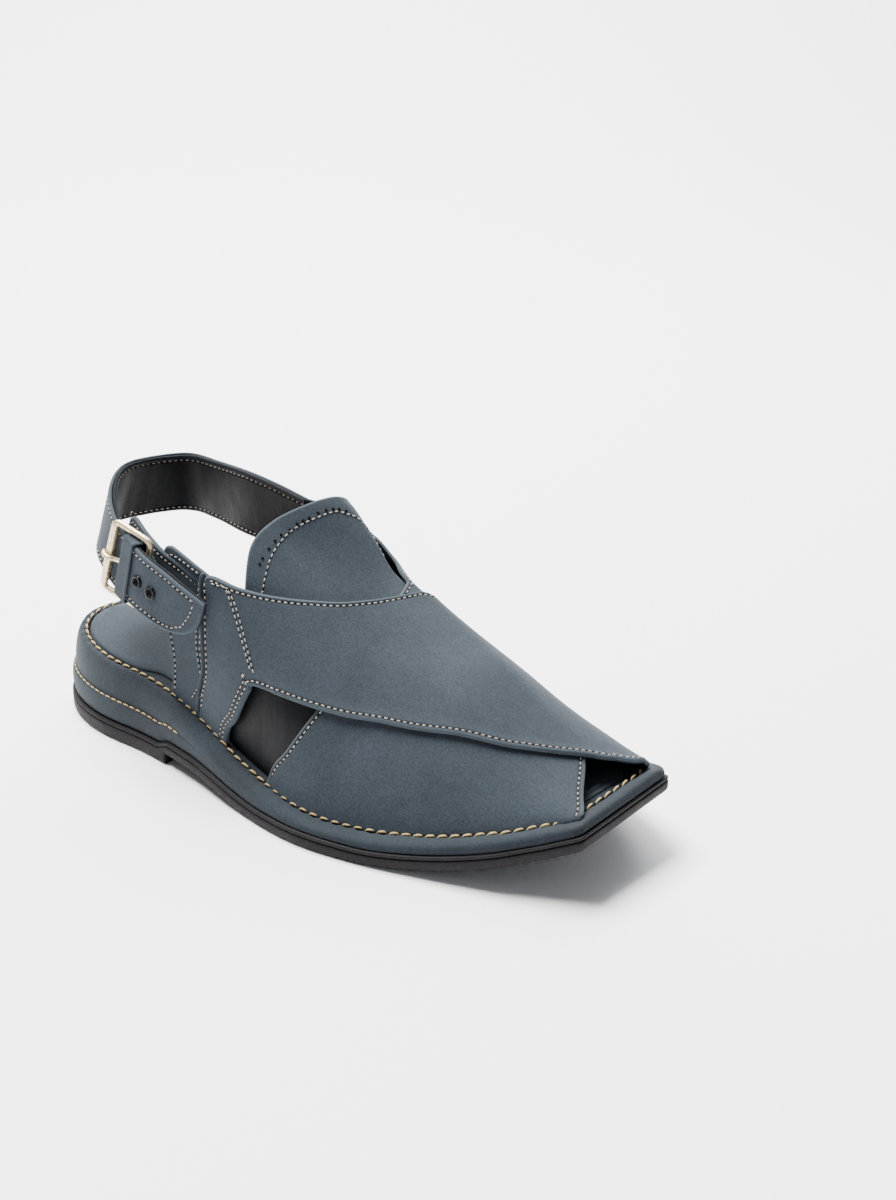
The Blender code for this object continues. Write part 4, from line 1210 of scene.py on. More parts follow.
def sole_form(name, rings, finish, crown=0.0, pucker=None):
    """A solid from rings of (inset, corner radius, height), bottom to top, with caps laid rung by rung."""
    loops = []
    for inset, corner, height in rings:
        loop, count = sole_ring(inset, corner)
        loops.append(np.column_stack([loop, height(loop[:, 0])]))
    size = len(loops[0])
    points = np.concatenate(loops)
    if pucker is not None:
        points[:, 2] += pucker(points.reshape(len(rings), size, 3)).ravel()
    index = np.arange(len(points)).reshape(len(rings), size)
    quads = [ring_quads(index)[:, ::-1]]
    far = count + ACROSS_POINTS - 1
    share = np.linspace(0, 1, ACROSS_POINTS + 1)[None, 1:-1, None]
    for ring, rise in ((0, 0.0), (-1, crown)):
        loop = index[ring]
        lateral = loop[:count]
        medial = loop[far : far + count][::-1]
        inner = points[lateral][1:-1, None] * (1 - share) + points[medial][1:-1, None] * share
        inner[..., 2] = rings[ring][2](inner[..., 0]) + rise * (1 - (2 * share[..., 0] - 1) ** 2)
        grid = np.empty((count, ACROSS_POINTS + 1), int)
        grid[:, 0] = lateral
        grid[:, -1] = medial
        grid[0] = np.concatenate([[loop[0]], loop[far + count :][::-1], [medial[0]]])
        grid[-1] = loop[count - 1 : far + 1]
        grid[1:-1, 1:-1] = len(points) + np.arange(inner.size // 3).reshape(count - 2, -1)
        points = np.concatenate([points, inner.reshape(-1, 3)])
        corners = index_quads(grid)
        quads.append(corners[:, ::-1] if ring == 0 else corners)
    return new_form(name, points, np.concatenate(quads), [finish])


def even_inset(value):
    return lambda along: value + 0 * np.asarray(along, float)


def make_outsole():
    """Rubber outsole: a low side, a breast step at the heel's front and a thin strip under the welt."""
    rings = []
    for inset, share, rise in np.array(OUTSOLE_ROWS) / (1000, 1, 1000):

        def height(x, share=share, rise=rise):
            return sole_bottom(x) * (1 - share) + outsole_top(x) * share + rise

        rings.append((even_inset(inset), TOE_CORNER - inset * 0.5, height))
    item = sole_form("outsole_rubber", rings, "dark_rubber")
    settle(item, "dark_rubber", "outsole")


def wrap_level(share, drop=0.0):
    def height(x):
        low = outsole_top(x) + CLEARANCE * 0.2
        return low + share * (rim_height(x) - low) - drop

    return height


def wrap_inset(base, ledge):
    def inset(along):
        return base + ledge * (1 - ease((np.asarray(along, float) - 0.22) / 0.16))

    return inset


def make_midsole():
    """Nubuck wrapped over the wedge: a stepped heel ledge, a rolled top and a gathered crease at the rim.

    Puckers: depth * bell(inset from the crease) * cos(2 pi * way round / stitch pitch).
    """
    table = smooth_table(WRAP_ROWS, np.linspace(0, 1, WRAP_RINGS)) / (1000, 1000, 1, 1000)
    rings = []
    for base, ledge, share, drop in table:
        corner = TOE_CORNER + (RIM_CORNER - TOE_CORNER) * ease(base / 0.006)
        rings.append((wrap_inset(base, ledge), corner, wrap_level(share, drop)))

    def pucker(points):
        path = points[-4]
        run = lengths_along(path)
        place = np.abs(table[:, 0] - STITCH_INSET + 0.0008)[:, None]
        wave = np.cos(2 * np.pi * run / RIM_PITCH)[None, :]
        slow = np.sin(run * 310)[None, :] + np.sin(run * 190 + 1.3)[None, :]
        return FOLD_DEPTH * bell(place, 0.004) * slow - PUCKER_DEPTH * bell(place, 0.0022) * wave

    # The wedge takes the darker copy of the nubuck: painted shade on its sides.
    item = sole_form("midsole_wrap", rings, "wrap_nubuck", pucker=pucker)
    settle(item, "slate_nubuck", "midsole")


def make_insole():
    """Footbed pad with a rounded edge and a low crown, a little wider at the heel."""

    def pad_inset(along, more):
        back = 1 - ease((np.asarray(along, float) - 0.20) / 0.05)
        return INSOLE_INSET + (INSOLE_HEEL_INSET - INSOLE_INSET) * back + more

    rings = []
    for more, rise in ((0.0, -2.1), (0.0, 0.0), (0.0003, 0.5), (0.0011, 0.9), (0.0030, 1.0)):
        rings.append((
            lambda along, more=more: pad_inset(along, more),
            INSOLE_CORNER,
            lambda x, rise=rise: rim_height(x) + rise / 1000,
        ))
    item = sole_form("insole_cover", rings, "slate_nubuck", crown=INSOLE_CROWN)
    settle(item, "slate_nubuck", "insole")


def ring_path(inset, corner, height):
    """Points once round the sole, starting and ending at the heel's lateral side."""
    loop = sole_ring(inset, corner)[0]
    points = np.column_stack([loop, height(loop[:, 0])])
    return np.concatenate([points, points[:1]])


def stitch_lead(along):
    """How far the rim stitches move outward near the toe, clear of the straps' feet."""
    return STITCH_LEAD * ease((along - 0.66) / 0.16) * ease((1.0 - along) / 0.05)


def make_sole_stitches():
    """Gold thread: a running stitch in the rim's crease all the way round, and one along the heel's ledge,
    with a thin dark tube in the crease as painted shade.
    """
    path = ring_path(
        lambda along: STITCH_INSET - stitch_lead(along),
        RIM_CORNER,
        lambda x: rim_height(x) - 0.0003 + 0.2 * stitch_lead(x / SOLE_LENGTH),
    )
    up = np.tile((0.0, 0.0, 1.0), (len(path), 1))
    forms = [stitches(path, up, RIM_PITCH, RIM_STITCH, RIM_THREAD, slant=RIM_SLANT, closed=True, sink=0.1)]
    # A thin near-black tube just inside and below the stitches: painted shade in the rim's crease.
    beneath = 0.0009
    crease = ring_path(
        lambda along: STITCH_INSET + beneath - stitch_lead(along),
        RIM_CORNER,
        lambda x: rim_height(x) - beneath,
    )
    dark, faces = tube_form(crease[:-1], CREASE_SHADE_RADIUS, 8, closed=True)
    settle(new_form("rim_crease", dark, faces, ["needle_hole"]), "slate_nubuck")
    ledge_inset = wrap_inset(0.0014, HEEL_LEDGE * 0.55)
    loop, count = sole_ring(ledge_inset, TOE_CORNER)
    points = np.column_stack([loop, wrap_level(0.415)(loop[:, 0])])
    far = count + ACROSS_POINTS - 1
    route = np.concatenate([points[far:], points[:count]])
    route = route[route[:, 0] < LEDGE_END * SOLE_LENGTH]
    ahead = unit(np.gradient(route, axis=0))
    outward = unit(np.cross((0.0, 0.0, 1.0), ahead))
    middle = np.array((0.07, 0.0, 0.0))
    outward *= np.sign(((route - middle) * outward).sum(axis=1, keepdims=True))
    normals = unit(outward * 0.5 + (0, 0, 1.0))
    forms.append(stitches(route, normals, LEDGE_PITCH, LEDGE_STITCH, LEDGE_THREAD, sink=0.1))
    points, quads = join_forms(forms)
    settle(new_form("sole_thread", points, quads, ["gold_thread"]), "slate_nubuck")


def free_path(rows, lift, count=400):
    """A path on the last through (along, girth) points, with its normals."""
    spots = smooth_table(rows, np.linspace(0, 1, count))
    normal = last_normal(spots[:, 0], spots[:, 1])
    height = lift(spots[:, 0], spots[:, 1])
    return last_point(spots[:, 0], spots[:, 1]) + normal * height[:, None], normal


PANELS = {
    "top_strap": (TOP_STRAP_ROWS, top_lift, TOP_WALL),
    "under_strap": (UNDER_STRAP_ROWS, under_lift, UNDER_WALL),
    "rear_lateral": (REAR_LATERAL_ROWS, foot_flare, UNDER_WALL),
    "rear_medial": (REAR_MEDIAL_ROWS, quarter_lift, UNDER_WALL),
    "tongue": (TONGUE_ROWS, tongue_lift, TONGUE_WALL),
}
STRAPS = ("top_strap", "under_strap", "rear_lateral", "rear_medial")


def panel_surface(name):
    rows, lift, wall = PANELS[name]
    return last_sheet(rows, lift), wall


def panel_seams(name):
    return [row[1:] for row in SEAM_ROWS if row[0] == name]


def front_curl(distance, v):
    """The top strap's free front edge lifts by CURL * exp(-(distance / CURL_REACH)^2)."""
    return CURL * bell(distance, CURL_REACH) * seam_mask(v, (0.30, 0.93))


def make_panels():
    """The four nubuck panels of the upper, each a turned-edge sheet on the last."""
    for number, name in enumerate(STRAPS):
        surface, wall = panel_surface(name)
        ends = (False, name.startswith("rear"))

        def relief(u, v, from_front, to_rear, number=number, surface=surface):
            x, y, _ = np.moveaxis(surface(u, v)[0], -1, 0)
            waves = soft_waves(x / SOLE_LENGTH, y / BALL_WIDTH, PANEL_WAVES, 1.7 * number + 1)
            curl = front_curl(from_front, v) if number == 0 else 0
            return waves * ease(np.minimum(from_front, to_rear) / 0.004) + curl

        finishes = ["slate_nubuck", "smooth_lining"]
        item = leather_sheet(name, surface, wall, finishes, panel_seams(name), relief=relief, ends=ends)
        settle(item, "slate_nubuck", "upper")


def make_gussets():
    for name, rows in (("gusset_lateral", GUSSET_LATERAL_ROWS), ("gusset_medial", GUSSET_MEDIAL_ROWS)):
        surface = last_sheet(rows, lining_lift)
        item = leather_sheet(name + "_leather", surface, LINING_WALL, ["smooth_lining"])
        settle(item, "smooth_lining", name)


def make_tongue():
    surface, wall = panel_surface("tongue")
    finishes = ["slate_nubuck", "smooth_lining"]
    item = leather_sheet("tongue_leather", surface, wall, finishes, ends=(True, True), middle=60)
    settle(item, "slate_nubuck", "tongue")


def sew(path, normals, thread, holes):
    """Adds a seam's stitches to the thread forms, and dark sunk capsules between them, painted shade of the
    needle holes, to the hole forms.
    """
    sizes = bpy.context.scene.chappal_sizes
    thread.append(stitches(path, normals, sizes.stitch_pitch, UPPER_STITCH, sizes.thread_radius))
    holes.append(stitches(path, normals, sizes.stitch_pitch, HOLE_LENGTH, HOLE_RADIUS, phase=0.0, sink=0.75))


def sew_edges(surface, seams, thread, holes):
    for seam in seams:
        sew(*seam_path(surface, *seam), thread, holes)


def lay_thread(name, thread, holes):
    """One piece of all the stitches, and one of all the holes' painted shade."""
    for label, forms, finish in (("thread", thread, "pale_thread"), ("holes", holes, "needle_hole")):
        settle(new_form(f"{name}_{label}", *join_forms(forms), [finish]), "slate_nubuck")


def ring_round(normal, count):
    """Unit arrows round a normal."""
    turn = np.linspace(0, 2 * np.pi, count, endpoint=False)[:, None]
    side = unit(np.cross(normal, (0.0, 0.0, 1.0)))
    return side * np.cos(turn) + np.cross(side, normal) * np.sin(turn)


def make_upper_stitches():
    """Cream thread along the panels' edges and free seams, with painted shade for the needle holes between
    the stitches and for the pinholes.
    """
    thread = []
    holes = []
    for name, side, distance, first, last in SEAM_ROWS:
        out = -SEAM_DEPTH
        if (name, side) == ("top_strap", "front"):
            out = front_curl(distance, np.linspace(first, last, SEAM_POINTS))[:, None] - SEAM_DEPTH
        sew(*seam_path(panel_surface(name)[0], side, distance, first, last, out), thread, holes)
    for name, spots in FREE_SEAMS:
        sew(*free_path(spots, PANELS[name][1]), thread, holes)
    # Each pinhole is a small near-black cup: painted shade standing in for the hole.
    raised = ((1.0, -0.0002), (1.0, 0.0004), (0.3, 0.0004))
    for along, girth in PINHOLES:
        where = np.array([along]), np.array([girth])
        normal = last_normal(*where)
        centre = last_point(*where) + normal * tongue_lift(*where)[:, None]
        ring = ring_round(normal, 10) * PINHOLE_RADIUS
        points = np.concatenate([centre + ring * size + normal * rise for size, rise in raised])
        quads = outward_quads(points, ring_quads(np.arange(30).reshape(3, 10)), points - centre)
        holes.append((points, quads))
    lay_thread("upper", thread, holes)


def make_piping():
    """A nubuck roll lying just outside each quarter seam, with a dark gap between it and the strap's edge."""
    for name, side in (("top_strap", "lateral"), ("under_strap", "medial")):
        surface = panel_surface(name)[0]
        v = np.linspace(0.0, PIPING_END, 120)
        edge, normals = surface(np.ones_like(v), v)
        outward = unit(edge - surface(np.full_like(v, 0.97), v)[0])
        path = edge + outward * PIPING_GAP - normals * PIPING_SINK
        points, quads = tube_form(path, PIPING_RADIUS, 10, normals=normals)
        settle(new_form(f"piping_{side}", points, quads, ["slate_nubuck"]), "slate_nubuck")


def strap_low(place):
    tip = np.clip((place - TIP_START) / (1 - TIP_START), 0, 1)
    return 1 - TIP_CUT * (1 - np.sqrt(1 - tip**2 * 0.999))


def make_heel_strap():
    """Two layers back to back, nubuck outside and lining inside, each with its edges rounded."""
    half = STRAP_THICKNESS / 2
    finishes = {1: "slate_nubuck", -1: "smooth_lining"}
    thread = []
    holes = []
    for turn, label in ((1, "outer"), (-1, "inner")):

        def surface(u, v, turn=turn):
            u, v = np.broadcast_arrays(np.asarray(u, float), np.asarray(v, float))
            share = u * strap_low(v)
            return strap_point(v, share, turn * half + 0 * share), turn * strap_normal(v, share)

        def relief(u, v, from_front, to_rear, turn=turn):
            round_heel = bell(v - 0.42, 0.17)
            creases = np.sin(v * 150 + 2.0 * np.sin(v * 31)) * 0.5 + np.sin(v * 61 + u * 2.2)
            depth = 0.00009 if turn < 0 else 0.00005
            return depth * round_heel * creases + 0.00012 * np.sin(v * 23 + u * 3)

        seams = [("front", STRAP_SEAM, 0.0, 0.962), ("rear", STRAP_SEAM, 0.0, 0.925)]
        item = leather_sheet(
            f"heel_strap_{label}", surface, half * 0.98, [finishes[turn]], seams, relief=relief,
            ends=(False, True), edge_round=0.0009, middle=14,
        )
        if turn > 0:
            settle(item, "slate_nubuck", "heel_strap")
        else:
            settle(item, "smooth_lining")
        sew_edges(surface, seams, thread, holes)
    spots = smooth_table(TIP_SEAM, np.linspace(0, 1, SEAM_POINTS))
    path = strap_point(spots[:, 0], spots[:, 1], half - SEAM_DEPTH + 0 * spots[:, 0])
    sew(path, strap_normal(spots[:, 0], spots[:, 1]), thread, holes)
    lay_thread("strap", thread, holes)


def hinge_depth():
    return STRAP_THICKNESS / 2 + CHAPE_THICKNESS + 2 * CLEARANCE + BUCKLE_WIRE / 2


def wrap_radius():
    return BUCKLE_WIRE / 2 + CLEARANCE + CHAPE_THICKNESS / 2


def flap_depth():
    return hinge_depth() + wrap_radius() + CHAPE_THICKNESS / 2 + CLEARANCE


def facing_surface(place_at, middle):
    """The surface with its normals looking away from a point."""
    surface = point_surface(place_at)
    spot, normal = surface(np.array([0.5]), np.array([0.5]))
    if ((spot - middle) * normal).sum() < 0:
        return point_surface(place_at, -1.0)
    return surface


def corner_curve(corners, number, turn, count):
    """A loop's corner cut by a quadratic curve that starts and ends so far from it."""
    corner = corners[number]
    start = corner + unit(corners[number - 1] - corner) * turn
    end = corner + unit(corners[(number + 1) % len(corners)] - corner) * turn
    part = np.linspace(0, 1, count)[:, None]
    return start * (1 - part) ** 2 + corner * 2 * part * (1 - part) + end * part**2


def make_flap():
    """The billet of the quarter that carries the buckle, under the strap, with a rounded rear end."""
    out = -flap_depth()

    def place_at(u, v):
        place = FLAP_START_AT + (FLAP_END_AT - FLAP_START_AT) * v
        corner = np.sqrt(1 - (1 - np.clip((place - FLAP_START_AT) / 0.05, 0.0, 1)) ** 2)
        middle = (FLAP_TOP + FLAP_LOW) / 2
        half = (FLAP_LOW - FLAP_TOP) / 2 * (0.55 + 0.45 * corner)
        share = middle - half + 2 * half * u
        return strap_point(place, share, out + 0 * share)

    surface = facing_surface(place_at, strap_point(HINGE_BAR_AT, 0.5, 10 * out))
    seams = [("front", FLAP_SEAM, 0.0, 1.0), ("rear", FLAP_SEAM, 0.0, 1.0)]
    finishes = ["slate_nubuck", "smooth_lining"]
    item = leather_sheet("buckle_flap", surface, FLAP_WALL, finishes, seams, ends=(True, False))
    settle(item, "slate_nubuck", "upper")
    thread = []
    holes = []
    sew_edges(surface, seams, thread, holes)
    lay_thread("flap", thread, holes)


def make_chape():
    """The doubled strap whose fold goes round the buckle's front bar."""
    radius = wrap_radius() + CHAPE_THICKNESS / 2
    run = strap_run(HINGE_BAR_AT)
    near = -(STRAP_THICKNESS / 2 + CLEARANCE)
    far = near - 2 * CHAPE_THICKNESS - CLEARANCE
    turn = np.linspace(np.pi / 2, 3 * np.pi / 2, 25)
    length = (CHAPE_END_AT - HINGE_BAR_AT) * run
    route = [(length, near), (length / 2, near)]
    route += [(radius * np.cos(angle), radius * np.sin(angle) - hinge_depth()) for angle in turn]
    route += [(radius * 1.6, -hinge_depth() - radius * 0.55), (radius * 3.0, far), (length, far)]
    route = np.array(route)

    away = lengths_along(route) / lengths_along(route)[-1]

    def place_at(u, v):
        step = np.interp(v, away, route[:, 0])
        out = np.interp(v, away, route[:, 1])
        share = CHAPE_EDGE + (1 - 2 * CHAPE_EDGE) * u
        return strap_point(HINGE_BAR_AT + step / run, share, out)

    surface = facing_surface(place_at, strap_point(HINGE_BAR_AT, 0.5, -hinge_depth()))
    item = leather_sheet(
        "chape_leather", surface, CHAPE_THICKNESS, ["slate_nubuck"], ends=(True, True), edge_round=0.0005,
        middle=12, step=0.0006,
    )
    settle(item, "slate_nubuck", "chape")


def make_keeper():
    """A narrow loop with rounded corners round the chape and the strap."""
    run = strap_run(HINGE_BAR_AT)
    half = KEEPER_WIDTH / 2 / run
    place = HINGE_BAR_AT - (wrap_radius() + CHAPE_THICKNESS / 2 + CLEARANCE) / run - half
    width = strap_width(place)
    high = STRAP_THICKNESS / 2 + CLEARANCE + KEEPER_THICKNESS
    low = -(STRAP_THICKNESS / 2 + PRONG_WIRE + 2 * CLEARANCE) - KEEPER_THICKNESS
    past = (CLEARANCE + KEEPER_THICKNESS) / width
    corners = np.array(((-past, high), (1 + past, high), (1 + past, low), (-past, low))) * (width, 1)
    bends = [corner_curve(corners, number, KEEPER_TURN, 6) for number in (3, 0, 1, 2)]
    join = [(width / 2, low)]
    loop = np.concatenate([join, *bends, join])
    away = lengths_along(loop) / lengths_along(loop)[-1]

    def place_at(u, v):
        share = np.interp(v, away, loop[:, 0]) / width
        out = np.interp(v, away, loop[:, 1])
        return strap_point(place - half + 2 * half * u, share, out)

    surface = facing_surface(place_at, strap_point(place, 0.5))
    item = leather_sheet(
        "keeper_leather", surface, KEEPER_THICKNESS, ["slate_nubuck", "cut_edge"], edge_round=0.0007,
        middle=8, step=0.0005,
    )
    settle(item, "slate_nubuck", "keeper")


def buckle_corners():
    rear = STRAP_THICKNESS / 2 + CLEARANCE + BUCKLE_WIRE / 2
    corners = []
    for place, side, shares in ((REAR_BAR_AT, rear, (0, 1)), (HINGE_BAR_AT, -hinge_depth(), (1, 0))):
        past = BUCKLE_REACH / strap_width(place)
        for share in shares:
            corners.append(strap_point(place, share + (past if share else -past), side))
    return corners


def make_buckle():
    """Cast frame with a broad flat rear bar and round side bars, and a bent prong resting across it."""
    corners = buckle_corners()
    bends = [corner_curve(corners, number, BUCKLE_WIRE, 9) for number in range(4)]
    share = np.linspace(0, 1, 14)[1:-1, None]
    path = []
    for number, bend in enumerate(bends):
        path += [bend, bend[-1] * (1 - share) + bends[(number + 1) % 4][0] * share]
    path = np.concatenate(path)
    normal = strap_normal(np.array([REAR_BAR_AT + 0.04]), np.array([0.5]))[0]
    normals = np.tile(normal, (len(path), 1))
    rear = np.zeros(len(path))
    rear[9:21] = 1
    rear = np.convolve(np.concatenate([rear[-4:], rear, rear[:4]]), np.ones(9) / 9, mode="valid")
    radius = BUCKLE_WIRE / 2 * (1 + 0.30 * rear)
    flat = 0.95 - 0.20 * rear[:, None, None]
    points, quads = tube_form(path, radius, 16, closed=True, flat=flat, normals=normals, power=2 + 5 * rear)
    settle(new_form("buckle_frame_brass", points, quads, ["antique_brass"]), "antique_brass", "buckle_frame")

    prong = PRONG_WIRE / 2
    run = strap_run(HINGE_BAR_AT)
    gap = STRAP_THICKNESS / 2 + CLEARANCE
    over = gap + BUCKLE_WIRE + CLEARANCE + prong
    start = HINGE_BAR_AT - (wrap_radius() + CHAPE_THICKNESS / 2 + CLEARANCE) / run
    spots = (
        (start, -(gap + prong)),
        ((start + PRONG_HOLE_AT) / 2 + 0.006, -(gap + prong)),
        (PRONG_HOLE_AT + 0.010, -gap * 0.9),
        (PRONG_HOLE_AT, 0.0),
        (PRONG_HOLE_AT - 0.013, gap + prong),
        (REAR_BAR_AT + 0.014, over - 0.0006),
        (REAR_BAR_AT, over),
        (REAR_BAR_AT - 0.012, over - prong),
    )
    route = smooth_table(spots, np.linspace(0, 1, 60))
    share = 0.5 + 0 * route[:, 0]
    path = strap_point(route[:, 0], share, route[:, 1])
    normals = strap_normal(route[:, 0], share)
    taper = 1 - 0.25 * ease((np.linspace(0, 1, 60) - 0.9) / 0.1)
    points, quads = tube_form(path, prong * taper, 12, flat=0.9, normals=normals)
    settle(new_form("buckle_prong_brass", points, quads, ["antique_brass"]), "antique_brass", "buckle_prong")


def make_eyelets():
    """Rolled black eyelets, each with a near-black disc in its bore: painted shade in place of the hole."""
    half = STRAP_THICKNESS / 2
    profile = np.array(
        (
            (EYELET_HOLE, -0.0006),
            (EYELET_HOLE, 0.0004),
            (EYELET_HOLE + 0.0002, 0.0008),
            (EYELET_HOLE + 0.0006, 0.0010),
            (EYELET_RADIUS - 0.0006, 0.0010),
            (EYELET_RADIUS - 0.0002, 0.0008),
            (EYELET_RADIUS, 0.0004),
            (EYELET_RADIUS, -0.0002),
        )
    )
    count = 40
    for number, place in enumerate(EYELETS_AT):
        middle = strap_point(place, 0.5, half)
        normal = strap_normal(np.array([place]), np.array([0.5]))[0]
        ring = ring_round(normal, count)
        outside, rise = profile.T[..., None, None]
        points = (middle + outside * ring + rise * normal).reshape(-1, 3)
        index = np.arange(len(points)).reshape(-1, count)
        quads = outward_quads(points, ring_quads(index), np.tile(normal, (len(points), 1)))
        eyelet = f"eyelet_{number + 1}"
        settle(new_form(eyelet + "_metal", points, quads, ["black_eyelet"]), "black_eyelet", eyelet)
        # A near-black disc just above the strap inside each eyelet: painted shade standing in for the bore.
        radii = np.array((0.34, 0.7, 1.02))[:, None, None] * EYELET_HOLE
        centre = middle + normal * BORE_RISE
        points = np.concatenate([(centre + radii * ring).reshape(-1, 3), [centre]])
        hub = len(points) - 1
        inner = [(hub, k, k + 1, (k + 2) % count) for k in range(0, count, 2)]
        quads = np.concatenate([ring_quads(np.arange(hub).reshape(-1, count)), inner])
        quads = outward_quads(points, quads, np.tile(normal, (len(points), 1)))
        settle(new_form(eyelet + "_bore", points, quads, ["needle_hole"]), "black_eyelet")


def make_stage():
    """Pale floor sweeping up behind the shoe, soft lights and the photograph's camera."""
    middle = np.array((SOLE_LENGTH / 2, 0.0, 0.0))
    heading = unit(np.array(CAMERA_HEADING))
    beside = np.array((heading[1], -heading[0]))
    bend = np.linspace(0, np.pi / 2, 20)[1:]
    radius = 0.9
    turned = radius + radius * np.sin(bend)
    away = np.concatenate([np.linspace(-2.2, radius, 12), turned, np.full(6, 2 * radius)])
    rise = np.concatenate([np.zeros(12), radius * (1 - np.cos(bend)), np.linspace(1.0, 2.4, 6)])
    wide = np.linspace(-3.0, 3.0, 9)
    points = np.zeros((len(away), len(wide), 3))
    points[..., :2] = middle[:2] + away[:, None, None] * heading + wide[None, :, None] * beside
    points[..., 2] = rise[:, None]
    points = points.reshape(-1, 3)
    quads = index_quads(np.arange(len(points)).reshape(len(away), len(wide)))
    outward = np.tile((-heading[0], -heading[1], 1.0), (len(points), 1))
    item = new_form("studio_floor", points, outward_quads(points, quads, outward), ["studio_floor"])

    world = bpy.data.worlds.new("studio_air")
    bpy.context.scene.world = world
    world.use_nodes = True
    world.node_tree.nodes["Background"].inputs["Color"].default_value = linear("f3f5f8")
    world.node_tree.nodes["Background"].inputs["Strength"].default_value = 0.30
    for name, place, size, power, colour in LIGHTS:
        light = bpy.data.lights.new(name, "AREA")
        light.shape = "RECTANGLE"
        light.size = size[0]
        light.size_y = size[1]
        light.energy = power
        light.color = linear(colour)[:3]
        lamp = bpy.data.objects.new(name, light)
        spot = middle.copy()
        spot[:2] += heading * place[0] + beside * place[1]
        spot[2] = place[2]
        lamp.location = Vector(spot + ORIGIN)
        aim = Vector(middle + ORIGIN + (0, 0, 0.04)) - lamp.location
        lamp.rotation_euler = aim.to_track_quat("-Z", "Y").to_euler()
        bpy.context.scene.collection.objects.link(lamp)

    camera = bpy.data.cameras.new("camera")
    camera.lens = CAMERA_LENS
    camera.sensor_width = 36.0
    camera.clip_start = 0.01
    holder = bpy.data.objects.new("camera", camera)
    holder.location = Vector(np.array(CAMERA_EYE) + ORIGIN)
    level = np.cos(CAMERA_DIP)
    look = Vector((CAMERA_HEADING[0] * level, CAMERA_HEADING[1] * level, -np.sin(CAMERA_DIP)))
    holder.rotation_euler = look.to_track_quat("-Z", "Y").to_euler()
    bpy.context.scene.collection.objects.link(holder)
    bpy.context.scene.camera = holder


class ChappalSizes(bpy.types.PropertyGroup):
    stitch_pitch: FloatProperty(
        name="Upper stitch pitch",
        description="Distance from one needle hole to the next but one on the upper",
        default=UPPER_PITCH,
        min=0.001,
        max=0.006,
        unit="LENGTH",
    )
    thread_radius: FloatProperty(
        name="Upper thread radius",
        description="Half the thickness of the pale thread",
        default=UPPER_THREAD,
        min=0.0001,
        max=0.001,
        unit="LENGTH",
    )


def colour_property(name, description, hex_colour):
    return FloatVectorProperty(
        name=name, description=description, subtype="COLOR", size=4, min=0, max=1, default=linear(hex_colour)
    )


class ChappalColours(bpy.types.PropertyGroup):
    nubuck_light: colour_property("Nubuck, light", "Brushed nap of the slate nubuck", "293139")
    nubuck_dark: colour_property("Nubuck, dark", "Pressed nap of the slate nubuck", "222a31")
    # The wrap's colours are the slate nubuck darkened: painted shade on the wedge's sides, not a different
    # leather.
    wrap_light_painted_shade: colour_property("Wrap, light", "Brushed nap on the wrapped wedge", "1f272e")
    wrap_dark_painted_shade: colour_property("Wrap, dark", "Handled, duller nap on the wrapped wedge", "181f25")
    lining_light: colour_property("Lining, light", "Worn parts of the smooth lining", "0b0d11")
    lining_dark: colour_property("Lining, dark", "Smooth lining", "06070a")
    rubber_light: colour_property("Rubber, light", "Scuffed sole rubber", "121114")
    rubber_dark: colour_property("Rubber, dark", "Sole rubber", "0a090b")
    brass: colour_property("Brass", "Rubbed antique brass plating", "d9c9a6")
    patina: colour_property("Patina", "Brown left in the plating's pits", "6f5f45")
    eyelet: colour_property("Eyelets", "Black oxide", "141416")
    pale_thread: colour_property("Pale thread", "Stitching of the upper", "99948a")
    gold_thread: colour_property("Gold thread", "Stitching of the sole", "a18a55")
    shade: colour_property("Holes", "Shade in needle holes and bores", "050506")
    cut_edge: colour_property("Cut edges", "Dyed edges of the keeper", "0e0f12")
    floor: colour_property("Floor", "Studio floor", "f2f2f4")


class PieceOperator:
    """Runs the makers of its pieces in order"""

    def execute(self, context):
        for make in self.makers:
            make()
        return {"FINISHED"}


class SoleOperator(PieceOperator, bpy.types.Operator):
    """Builds the outsole, the wrapped midsole, the insole and the gold stitching"""

    bl_idname = "chappal.sole"
    bl_label = "Sole"
    makers = (make_outsole, make_midsole, make_insole, make_sole_stitches)


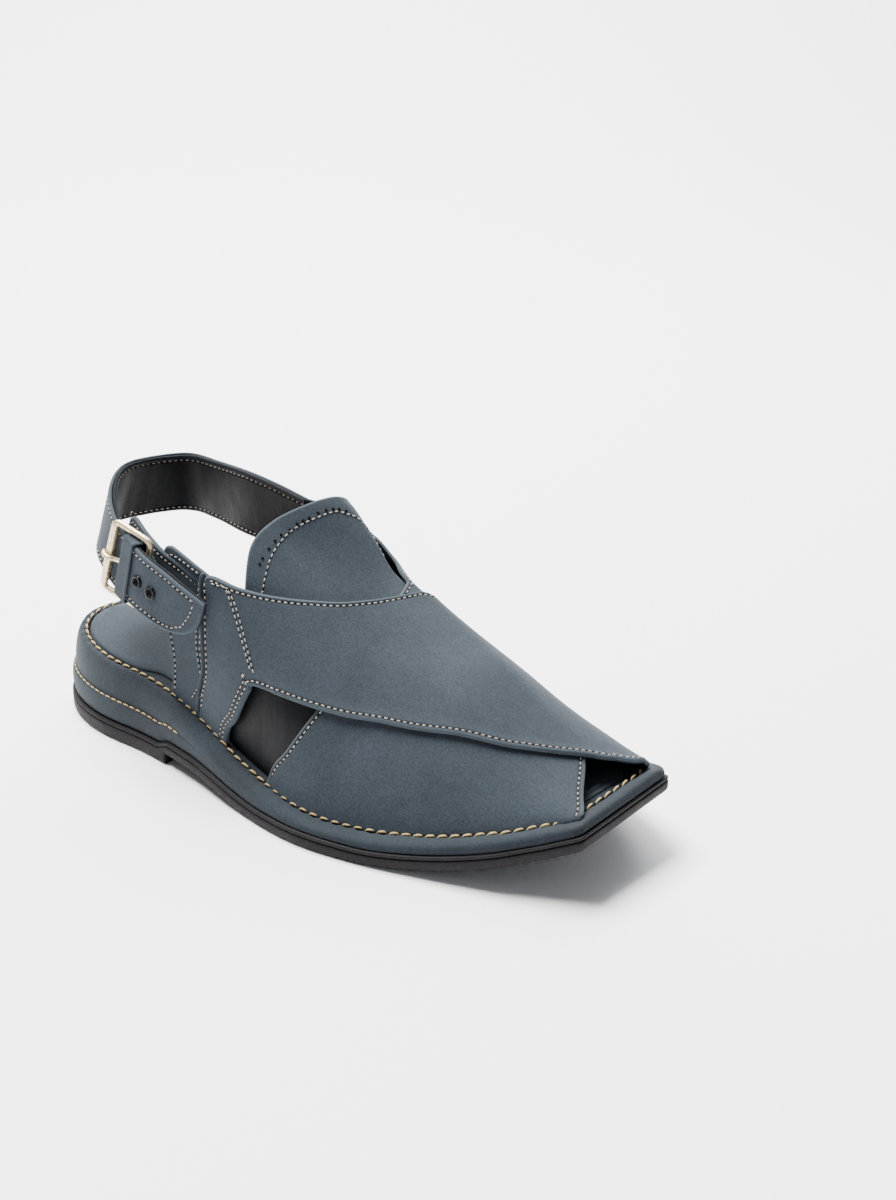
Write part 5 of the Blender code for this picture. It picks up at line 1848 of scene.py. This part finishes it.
class UpperOperator(PieceOperator, bpy.types.Operator):
    """Builds the crossed straps, the quarters, their linings, the tongue and the stitching"""

    bl_idname = "chappal.upper"
    bl_label = "Upper"
    makers = (make_panels, make_gussets, make_tongue, make_piping, make_upper_stitches)


class StrapOperator(PieceOperator, bpy.types.Operator):
    """Builds the heel strap, the buckle's flap, chape and keeper"""

    bl_idname = "chappal.strap"
    bl_label = "Heel strap"
    makers = (make_heel_strap, make_flap, make_chape, make_keeper)


class BuckleOperator(PieceOperator, bpy.types.Operator):
    """Builds the buckle's frame and prong, and the eyelets"""

    bl_idname = "chappal.buckle"
    bl_label = "Buckle and eyelets"
    makers = (make_buckle, make_eyelets)


class StageOperator(PieceOperator, bpy.types.Operator):
    """Sets up the studio floor, the lights and the camera"""

    bl_idname = "chappal.stage"
    bl_label = "Studio"
    makers = (make_stage,)


PIECE_OPERATORS = (SoleOperator, UpperOperator, StrapOperator, BuckleOperator, StageOperator)


class ChappalPanel(bpy.types.Panel):
    """Lists the chappal's sizes, colours and pieces"""

    bl_idname = "VIEW3D_PT_chappal"
    bl_label = "Chappal"
    bl_space_type = "VIEW_3D"
    bl_region_type = "UI"
    bl_category = "Chappal"

    def draw(self, context):
        for group in (context.scene.chappal_sizes, context.scene.chappal_colours):
            for name in group.__annotations__:
                self.layout.prop(group, name)
        for operator in PIECE_OPERATORS:
            self.layout.operator(operator.bl_idname)


CLASSES = (ChappalSizes, ChappalColours, *PIECE_OPERATORS, ChappalPanel)


def register():
    for kind in CLASSES:
        bpy.utils.register_class(kind)
    bpy.types.Scene.chappal_sizes = PointerProperty(type=ChappalSizes)
    bpy.types.Scene.chappal_colours = PointerProperty(type=ChappalColours)


def unregister():
    del bpy.types.Scene.chappal_colours
    del bpy.types.Scene.chappal_sizes
    for kind in reversed(CLASSES):
        bpy.utils.unregister_class(kind)


def main():
    register()
    bpy.ops.chappal.sole()
    bpy.ops.chappal.upper()
    bpy.ops.chappal.strap()
    bpy.ops.chappal.buckle()
    bpy.ops.chappal.stage()


if __name__ == "__main__":
    main()
